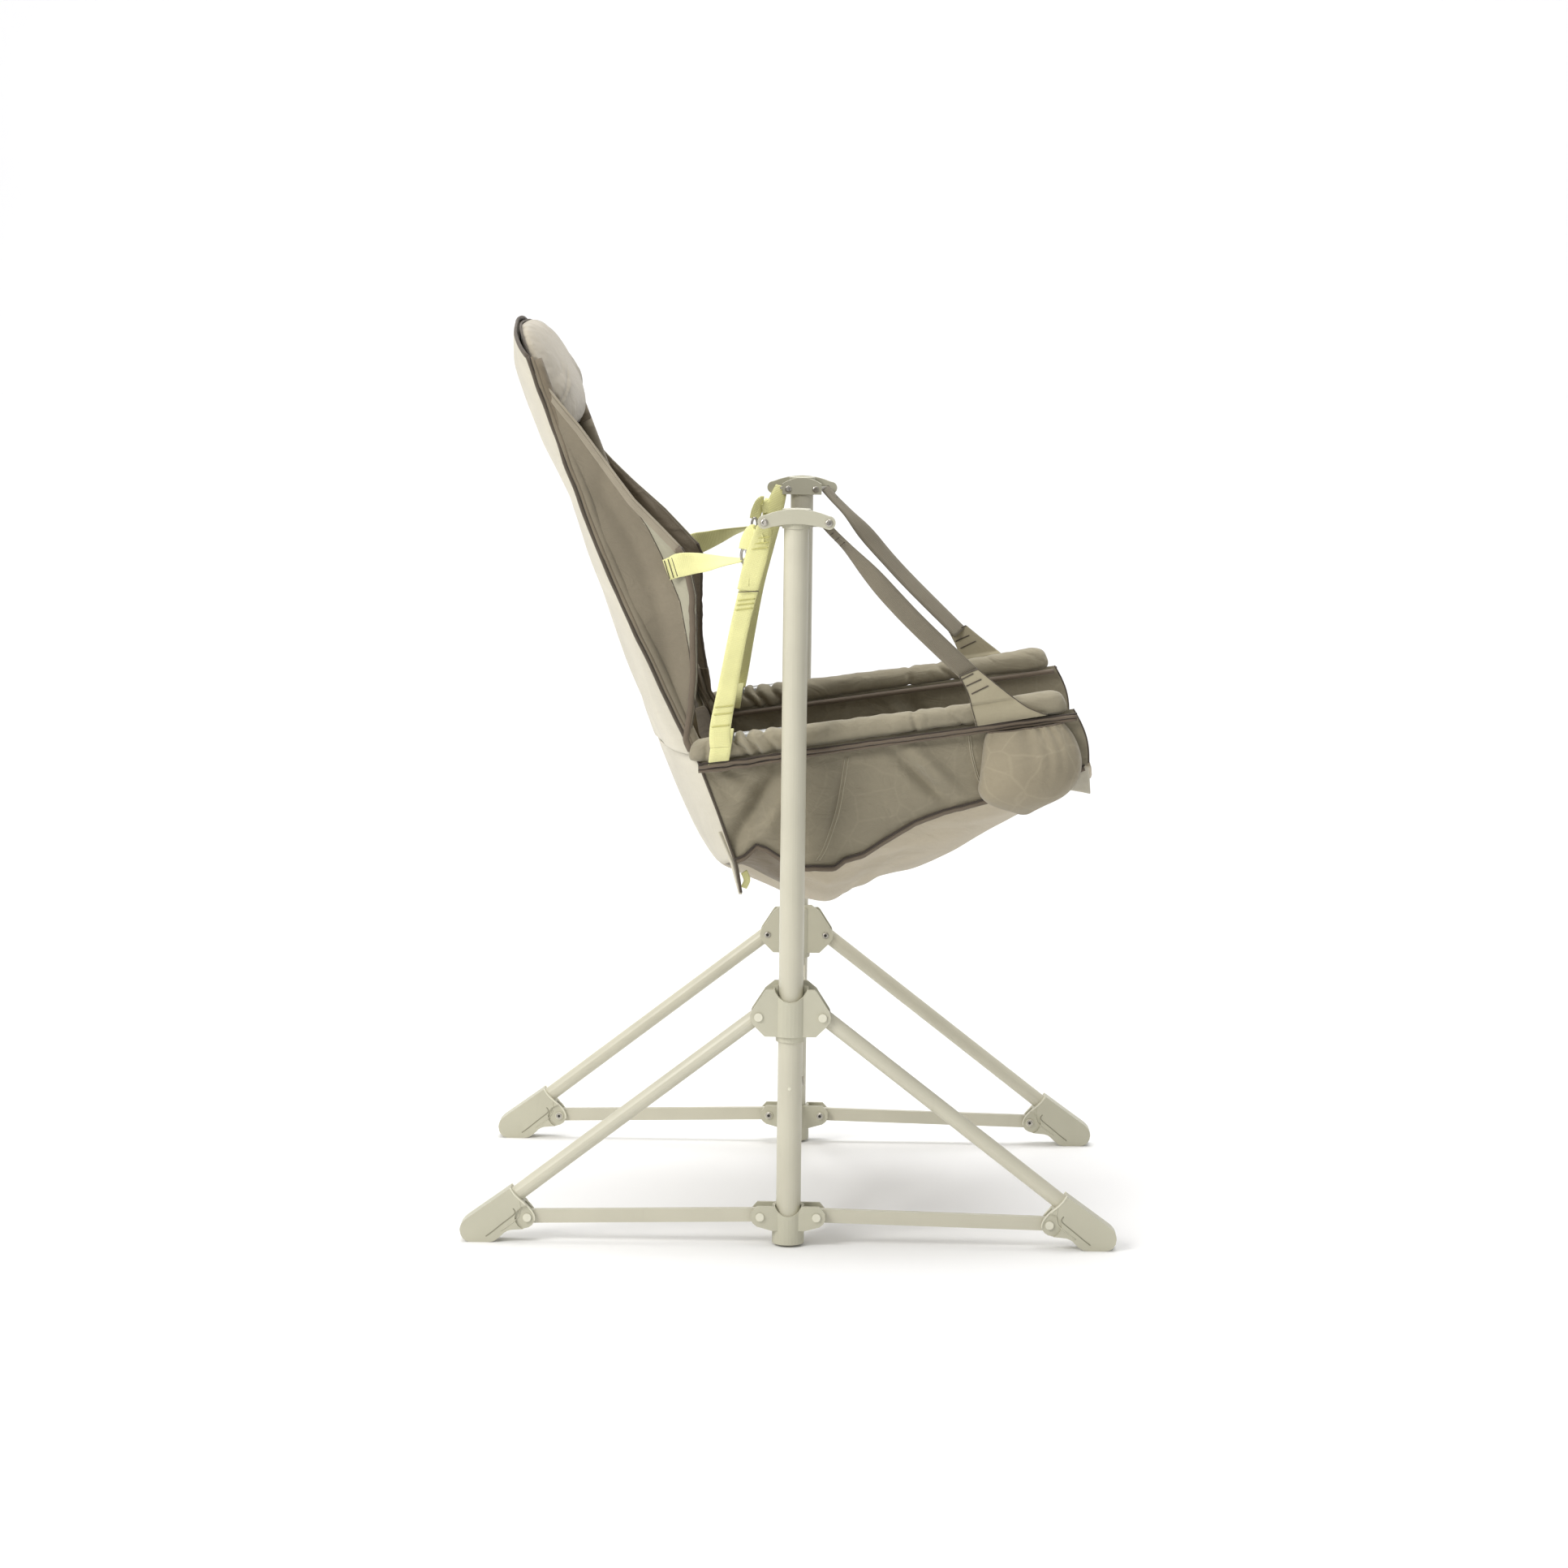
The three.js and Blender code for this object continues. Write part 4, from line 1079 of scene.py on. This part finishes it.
def inflate(jobs):
    """Voxel remesh, cloth pressure for 20 frames, then cap how far any point moved."""
    rest = {}
    for obj, voxel, pressure, cap, held in jobs:
        modify(obj, "REMESH", mode="VOXEL", voxel_size=voxel)
        baked(obj)
        rest[obj.name] = [v.co.copy() for v in obj.data.vertices]
        group = obj.vertex_groups.new(name="held")
        for v in obj.data.vertices:
            w = held(v.co)
            if w > 0:
                group.add([v.index], w, "REPLACE")
        cloth_mod = modify(obj, "CLOTH")
        cloth_mod.collision_settings.use_collision = False
        for key, value in (("quality", 5), ("mass", 0.2), ("use_pressure", True),
                           ("uniform_pressure_force", pressure), ("tension_stiffness", 12),
                           ("compression_stiffness", 12), ("shear_stiffness", 4),
                           ("bending_stiffness", 0.4), ("vertex_group_mass", "held")):
            setattr(cloth_mod.settings, key, value)
        cloth_mod.settings.effector_weights.gravity = 0.0
    scene = bpy.context.scene
    for f in range(1, 21):
        scene.frame_set(f)
    deps = bpy.context.evaluated_depsgraph_get()
    for obj, voxel, pressure, cap, held in jobs:
        moved = [v.co.copy() for v in obj.evaluated_get(deps).data.vertices]
        obj.modifiers.clear()
        for v, a, b in zip(obj.data.vertices, rest[obj.name], moved):
            d = b - a
            v.co = a + (d * (cap / d.length) if d.length > cap else d)
        obj.vertex_groups.clear()
        for poly in obj.data.polygons:
            poly.use_smooth = True
        modify(obj, "SMOOTH", factor=0.4, iterations=2)
        modify(obj, "SUBSURF", levels=1, render_levels=1)
        baked(obj)
    scene.frame_set(1)


def arm_creases(obj, s):
    """Sewn-in tucks: deep ones near the rear strap, shallow ones forward of the post."""
    tucks = [(-0.066, 1.1, 0.0065), (-0.051, 1.3, 0.0060), (-0.030, 1.5, 0.0040),
             (0.145, -3.0, 0.0035), (-0.106, -1.2, 0.0024), (0.192, 0.8, 0.0024)]
    for v in obj.data.vertices:
        x, z = v.co.x, v.co.z
        dy, dz = v.co.y - s * ARM_Y, z - arm_height(x)
        r = math.hypot(dy, dz)
        if r < 1e-5:
            continue
        depth = 0.0009 * ripple(x * 1.4, v.co.y, z, 55, 3.0)
        for at, slant, deep in tucks:
            d = x - at + dz * (1 / slant) * 0.5 + 0.003 * math.sin(160 * dz)
            depth += deep * math.exp(-(d / 0.0032) ** 2) * smooth(abs(dz), 0.020, 0.004)
            depth -= 0.35 * deep * math.exp(-((d - 0.0085) / 0.0050) ** 2)
        v.co.y -= depth * dy / r
        v.co.z -= depth * dz / r


def pillow_creases(obj):
    """Soft puckers running in from the seam, and one long crease across the near end."""
    back = PILLOW_LEAN.inverted()
    for v in obj.data.vertices:
        p = back @ (v.co - PILLOW_AT)
        edge = max(abs(p.y) / PILLOW_HALF[0], abs(p.z) / PILLOW_HALF[1])
        push = 0.0016 * ripple(p.x, p.y * 1.6, p.z, 22, 6.0) * smooth(edge, 0.3, 0.8)
        line = p.z + 0.012 + 0.35 * (abs(p.y) - 0.085)
        push -= 0.0034 * math.exp(-(line / 0.0055) ** 2) * smooth(abs(p.y), 0.03, 0.09)
        push += 0.0022 * math.exp(-((line - 0.012) / 0.008) ** 2) * smooth(abs(p.y), 0.03, 0.09)
        v.co += PILLOW_LEAN @ Vector((math.copysign(push, p.x) if abs(p.x) > 0.004 else 0, 0, 0))


def build_padded():
    """Arm pads and pillow, inflated together, then their stitched details."""
    def arm_hold(co):
        return 1.0 if co.z < arm_height(co.x) - 0.0110 else 0.0

    def pillow_hold(co):
        p = PILLOW_LEAN.inverted() @ (co - PILLOW_AT)
        edge = (p.y / PILLOW_HALF[0]) ** 2 + (p.z / PILLOW_HALF[1]) ** 2
        return 1.0 if abs(p.x) < 0.0035 and edge > 0.8 else 0.0

    arms = {side: arm_form(f"ArmPad_{side}", s, ARM) for side, s in SIDES.items()}
    pillow = pillow_form()
    jobs = [(arms[side], 0.0042, 4.0, 0.0030, arm_hold) for side in SIDES]
    jobs.append((pillow, 0.0050, 4.0, 0.0060, pillow_hold))
    inflate(jobs)
    for side, s in SIDES.items():
        arm_creases(arms[side], s)
        seat_piece(arms[side], "arm_fabric", side, replaces=f"arm_pad_{side}")
    pillow_creases(pillow)
    seat_piece(pillow, "pillow_fabric", replaces="pillow", body="back_right", folds=True)

    ring = []
    for i in range(97):
        py, pz = pillow_rim(2 * math.pi * i / 96, 1.004)
        ring.append(PILLOW_LEAN @ Vector((-0.001, py, pz)) + PILLOW_AT)
    seam = cord_tube("PillowSeam", ring, 0.0015, PIPING, 6)
    seat_piece(seam, "pillow_fabric", body="back_right", folds=True)


def patch_skin(x, z):
    """How far the arm patch stands out from the arm's middle plane."""
    axis, r = arm_height(x), arm_radius(x) + 0.0030
    d = (z - axis) / r
    skin = r * math.sqrt(max(0.0, 1 - d * d)) if abs(d) < 1 else 0.0
    tent = lerp(0.0195, 0.0175, smooth(z, axis, axis + 0.040))
    return max(skin, tent * smooth(z, axis + 0.002, axis + 0.016), 0.0125)


def patch_point(u, v, s):
    """Arm patch: u runs down from the strap onto the arm, v from its rear to its front edge."""
    rear = [(0.198, 0.696), (0.208, 0.676), (0.213, 0.657), (0.219, 0.635)]
    fore = [(0.220, 0.706), (0.248, 0.684), (0.279, 0.662), (0.306, 0.651)]
    (ax, az), (bx, bz) = on_row(rear, u), on_row(fore, u)
    x, z = lerp(ax, bx, v), lerp(az, bz, v)
    return x, s * (ARM_Y + patch_skin(x, z)), z


def build_arm_trim():
    """Double piping under each arm, the sewn patch at its front and its stitching."""
    for side, s in SIDES.items():
        parts = []
        # The two thin near-black cords are painted shadow along the piping.
        for off, drop, r, mat in ((0.0125, 0.0165, 0.0014, SEAM_SHADOW), (0.0128, 0.0190, 0.0025, BROWN),
                                  (0.0112, 0.0232, 0.0022, BROWN), (0.0119, 0.0212, 0.0009, SEAM_SHADOW)):
            pts = []
            for i in range(101):
                x = lerp(-0.116, 0.341, i / 100)
                fray = math.exp(-((x + 0.07) / 0.06) ** 2)
                pts.append((x, s * (ARM_Y + off + 0.0008 * ripple(x, 0, 0, 40, drop * 90)),
                            arm_height(x) - drop - 0.004 * fray * (drop - 0.0165) / 0.008
                            + (0.0006 + 0.0016 * fray) * ripple(x, 0, drop * 20, 60, 3)))
            parts.append(cord_tube("tPipe", pts, r, mat, 8, 0.9))
        pts = [(x, s * (ARM_Y - 0.0135), arm_height(x) - 0.0180)
               for x in [lerp(-0.116, 0.336, i / 60) for i in range(61)]]
        parts.append(cord_tube("tPipeIn", pts, 0.0042, BROWN, 8, 0.8))
        trim = join(f"ArmPiping_{side}", parts)
        seat_piece(trim, "taupe_fabric", side)

        fabric(f"ArmPatch_{side}", lambda u, v, s=s: patch_point(u, v, s), 40, 22, [ARM_PATCH],
               0.0016, "arm_fabric", side, held="stretched", rests_on=[f"ArmPad_{side}"])
        lift = Vector((0, s * 0.0011, 0))
        lines = []
        for v in (0.015, 0.985):
            pts = [Vector(patch_point(i / 30, v, s)) + lift for i in range(31)]
            lines.append(cord_tube("tEdge", pts, 0.0007, THREAD_D, 6))
        for x0, z0, x1, z1 in ((0.1975, 0.6962, 0.2196, 0.7058), (0.2005, 0.6926, 0.2145, 0.7000),
                               (0.2063, 0.6847, 0.2243, 0.6933), (0.2130, 0.6754, 0.2329, 0.6855)):
            bar = [(lerp(x0, x1, i / 6), lerp(z0, z1, i / 6)) for i in range(7)]
            lines += [cord_tube("tBar", [Vector((x, s * (ARM_Y + patch_skin(x, z)), z)) + k * lift
                                         for x, z in bar], 0.0009, THREAD_D, 6) for k in (1, -1)]
        edges = join(f"PatchStitch_{side}", lines)
        seat_piece(edges, "arm_fabric", side)


def build_pouches():
    """Gathered pocket hanging under the arm's front end, open along its top."""
    rows = [(0.634, 0.2330, 0.3240, 0.020), (0.618, 0.2300, 0.3380, 0.033),
            (0.594, 0.2280, 0.3470, 0.043), (0.572, 0.2260, 0.3440, 0.046),
            (0.552, 0.2250, 0.3290, 0.040), (0.537, 0.2380, 0.3050, 0.026),
            (0.527, 0.2680, 0.2900, 0.008)]
    for side, s in SIDES.items():
        def bag(u, v, s=s):
            """u round from rear to front over the outside, v from rim to bottom."""
            z, left, right, deep = on_row(rows, v)
            a = math.pi * u
            x = lerp(left, right, 0.5 - 0.5 * math.cos(a))
            z += ARM_SLOPE * (x - 0.280) * (1 - v) ** 3
            round_out = math.sin(a) ** 0.62
            pleat = math.sin(13 * a + 3 * math.sin(3 * a)) * (1 - v) ** 3.5
            y = PANEL_Y + 0.005 + deep * round_out + 0.0028 * pleat * math.sin(a)
            y += 0.0022 * ripple(x, 0, z, 22, 4 + s) * math.sin(a)
            y -= 0.010 * smooth(v, 0.45, 1.0) * math.sin(a)
            return x, s * y, z + 0.008 * (1 - math.sin(a)) * v**3

        fabric(f"Pouch_{side}", bag, 72, 48, [POUCH], 0.0020, "taupe_fabric", side,
               held="gathered", rests_on=[f"SidePanel_{side}"], replaces=f"pouch_{side}")
        rim = [Vector(bag(i / 40, 0.0)) for i in range(41)]
        edge = cord_tube(f"PouchRim_{side}", rim, 0.0018, BROWN, 8, 0.7)
        seat_piece(edge, "taupe_fabric", side)


# Path of the rear straps, as (height, x) and (height, distance from the middle).
REAR_X = [(0.632, -0.0858), (0.690, -0.0755), (0.755, -0.0635), (0.812, -0.0500), (0.866, -0.0360),
          (0.8855, -0.0300)]
REAR_Y = [(0.632, 0.2700), (0.690, 0.2740), (0.755, 0.2790), (0.812, 0.2840), (0.866, 0.2895),
          (0.8855, 0.2920)]


def on_rear(z, s, lift=0.0):
    """Point on the rear strap at a height, lifted outwards."""
    return Vector((along(REAR_X, z) + s * 0.0035, s * (along(REAR_Y, z) + lift), z))


def build_rear_strap(side, s):
    """Yellow webbing from the bracket to the arm, doubled at its top, wrapped round the arm."""
    arm_x = -0.089
    axis = arm_height(arm_x)
    r = arm_radius(arm_x) + 0.0030
    heights = [0.8855, 0.866, 0.812, 0.755, 0.690, 0.632]
    main = web("tMain", [on_rear(z, s) for z in heights] + [(arm_x, s * (ARM_Y + r), axis + 0.002)],
               [(0.75, -s * 0.55, 0.1), (0.9, -s * 0.35, 0.1), (1, 0, 0.15), (1, 0, 0.2),
                (1, 0, 0.2), (1, 0, 0.15), (1, 0, 0.1)], WEBBING, YELLOW, 0.0022, 60,
               [0.019, 0.0225, 0.0235, 0.0225, 0.0235, 0.0255, 0.026])
    doubled = web("tDoubled", [on_rear(z, s, 0.0024) + Vector((-0.0015, 0, 0))
                               for z in (0.886, 0.868, 0.838, 0.7975)],
                  [(0.75, -s * 0.55, 0.1), (0.9, -s * 0.35, 0.1), (1, 0, 0.15), (1, 0, 0.05)],
                  WEBBING, YELLOW, 0.0020, 30, [0.019, 0.023, 0.0265, 0.0250])
    lip = stitch_bar("tLip", on_rear(0.7975, s, 0.0040), (1, 0, 0.05), 0.0245, THREAD_D, (0, 0, 0),
                     0.0006)
    bars = [lip]
    for z, wide, lift in ((0.8630, 0.018, 0.0040), (0.8565, 0.019, 0.0040), (0.8500, 0.020, 0.0040),
                          (0.7875, 0.021, 0.0016), (0.7820, 0.021, 0.0016), (0.7760, 0.021, 0.0016),
                          (0.6570, 0.022, 0.0016), (0.6480, 0.022, 0.0016), (0.6330, 0.022, 0.0016)):
        bars.append(stitch_bar("tBar", on_rear(z, s, lift), (1, 0, 0.12), wide, THREAD_Y,
                               (0, 0, 0), 0.0007))
    loop = []
    for i in range(29):
        a = math.radians(-88 + 290 * i / 28)
        loop.append((arm_x + 0.003 * math.sin(a), s * (ARM_Y + r * math.cos(a)),
                     axis + r * math.sin(a)))
    wrap = web(f"RearStrapWrap_{side}", loop, (1, 0, 0.12), WEBBING, YELLOW, 0.0018, 57)
    strap = join(f"RearStrap_{side}", [main, doubled, *bars])
    seat_piece(strap, "yellow_webbing", replaces=f"rear_strap_{side}", body=f"strap_rear_{side}")
    seat_piece(wrap, "yellow_webbing", side)


def build_adjuster(side, s):
    """The wire ring the reclining strap runs through, held in a folded webbing loop."""
    drop = 0.0 if s < 0 else 0.006
    at = Vector((-0.0625, s * 0.2855, 0.8405 - drop))
    wire = [at + Vector((0.0036 * math.cos(a), s * 0.002 * math.cos(a), 0.0090 * math.sin(a)))
            for a in [2 * math.pi * i / 32 for i in range(33)]]
    ring = cord_tube(f"AdjusterRing_{side}", wire, 0.0017, STEEL, 8)
    held = [(-0.0620, 0.2868, 0.8480), (-0.0600, 0.2885, 0.8580), (-0.0550, 0.2900, 0.8690),
            (-0.0500, 0.2912, 0.8710), (-0.0465, 0.2905, 0.8640), (-0.0450, 0.2895, 0.8560)]
    tail = [(-0.0610, 0.2860, 0.8340), (-0.0600, 0.2850, 0.8200), (-0.0605, 0.2845, 0.8050)]
    loop = join(f"AdjusterLoop_{side}", [
        web("tHeld", [(x, s * y, z - drop) for x, y, z in held], (0.93, s * 0.25, -0.28), 0.015,
            YELLOW, 0.0016, 30),
        web("tTail", [(x, s * y, z) for x, y, z in tail], (0.8, s * 0.6, 0.1), 0.010, YELLOW,
            0.0014, 16)])
    for obj, slot in ((ring, "fastener"), (loop, "yellow_webbing")):
        seat_piece(obj, slot, body=f"strap_rear_{side}")


def build_recline_strap(side, s):
    """Webbing sewn flat on the wing that twists on edge as it reaches its ring."""
    out = back_half(0.82) + 0.0105
    rise = ([0.8195, 0.8225, 0.8260, 0.8285, 0.8300, 0.8325, 0.8350] if s < 0 else
            [0.7990, 0.8040, 0.8100, 0.8150, 0.8205, 0.8265, 0.8320])
    run = [(-0.1570, out), (-0.1490, out + 0.0005), (-0.1400, out + 0.0025), (-0.1230, 0.2620),
           (-0.1050, 0.2700), (-0.0860, 0.2775), (-0.0640, 0.2840)]
    turn = [(0.34, 0, -0.94), (0.34, 0, -0.94), (0.26, 0.02, -0.96), (0.12, 0.28, -0.94),
            (0.06, 0.56, -0.80), (0, 0.84, -0.46), (0, 0.98, -0.12)]
    strap = web("tStrap", [(x, s * y, z) for (x, y), z in zip(run, rise)],
                [(a, s * b, c) for a, b, c in turn], WEBBING, YELLOW, 0.0016, 56,
                [0.026, 0.027, 0.0290, 0.026, 0.023, 0.020, 0.018])
    marks = [stitch_bar("tMark", (-0.1560 + 0.0046 * k, s * (out + 0.0009),
                                  rise[0] + 0.0003 + 0.0018 * k),
                        (0.30, 0, -0.95), 0.0235, THREAD_D, (0, s * 0.0006, 0), 0.0006)
             for k in range(4)]
    strap = join(f"ReclineStrap_{side}", [strap, *marks])
    seat_piece(strap, "yellow_webbing", replaces=f"recline_strap_{side}", body=f"back_{side}")


def build_front_strap(side, s):
    """Taupe webbing with one twist, sewn narrow near the bracket, ending in the arm patch."""
    flat = (0.70, 0, 0.71) if s < 0 else (0.56, 0.60, 0.57)
    strap = web("tStrap", [(0.0315, s * 0.294, 0.8830), (0.0420, s * 0.2915, 0.8710),
                           (0.0600, s * 0.2885, 0.8530), (0.0850, s * 0.285, 0.8255),
                           (0.1150, s * 0.281, 0.792), (0.1500, s * 0.2745, 0.756),
                           (0.2120, s * 0.2592, 0.6970)],
                [(0.55, s * 0.8, 0.3), (0.5, s * 0.80, 0.4), (0.48, s * 0.78, 0.4),
                 (0.62, s * 0.45, 0.6), flat, flat, flat],
                WEBBING, TAUPE_WEB, 0.0020, 64, [0.018, 0.016, 0.018, 0.0225, 0.0235, 0.0235, 0.0235])
    bars = [stitch_bar("tBar", (0.0430 + 0.0060 * k, s * 0.2914, 0.8690 - 0.0062 * k),
                       (0.72, s * 0.30, 0.62), 0.0100, THREAD_D, (0.0004, s * 0.0016, 0.0004))
            for k in range(3)]
    strap = join(f"FrontStrap_{side}", [strap, *bars])
    seat_piece(strap, "taupe_webbing", replaces=f"front_strap_{side}", body=f"strap_front_{side}")


def build_straps():
    """All webbing on both sides."""
    for side, s in SIDES.items():
        build_rear_strap(side, s)
        build_adjuster(side, s)
        build_recline_strap(side, s)
        build_front_strap(side, s)


# -------------------------------------------------------------------------- all of it

build_camera()
build_set()
dress_cad()
build_fasteners()
build_boot_lines()
build_back()
build_wings()
build_rear_gussets()
build_seat_sheet()
build_seat_edges()
build_side_panels()
build_padded()
build_arm_trim()
build_pouches()
build_straps()
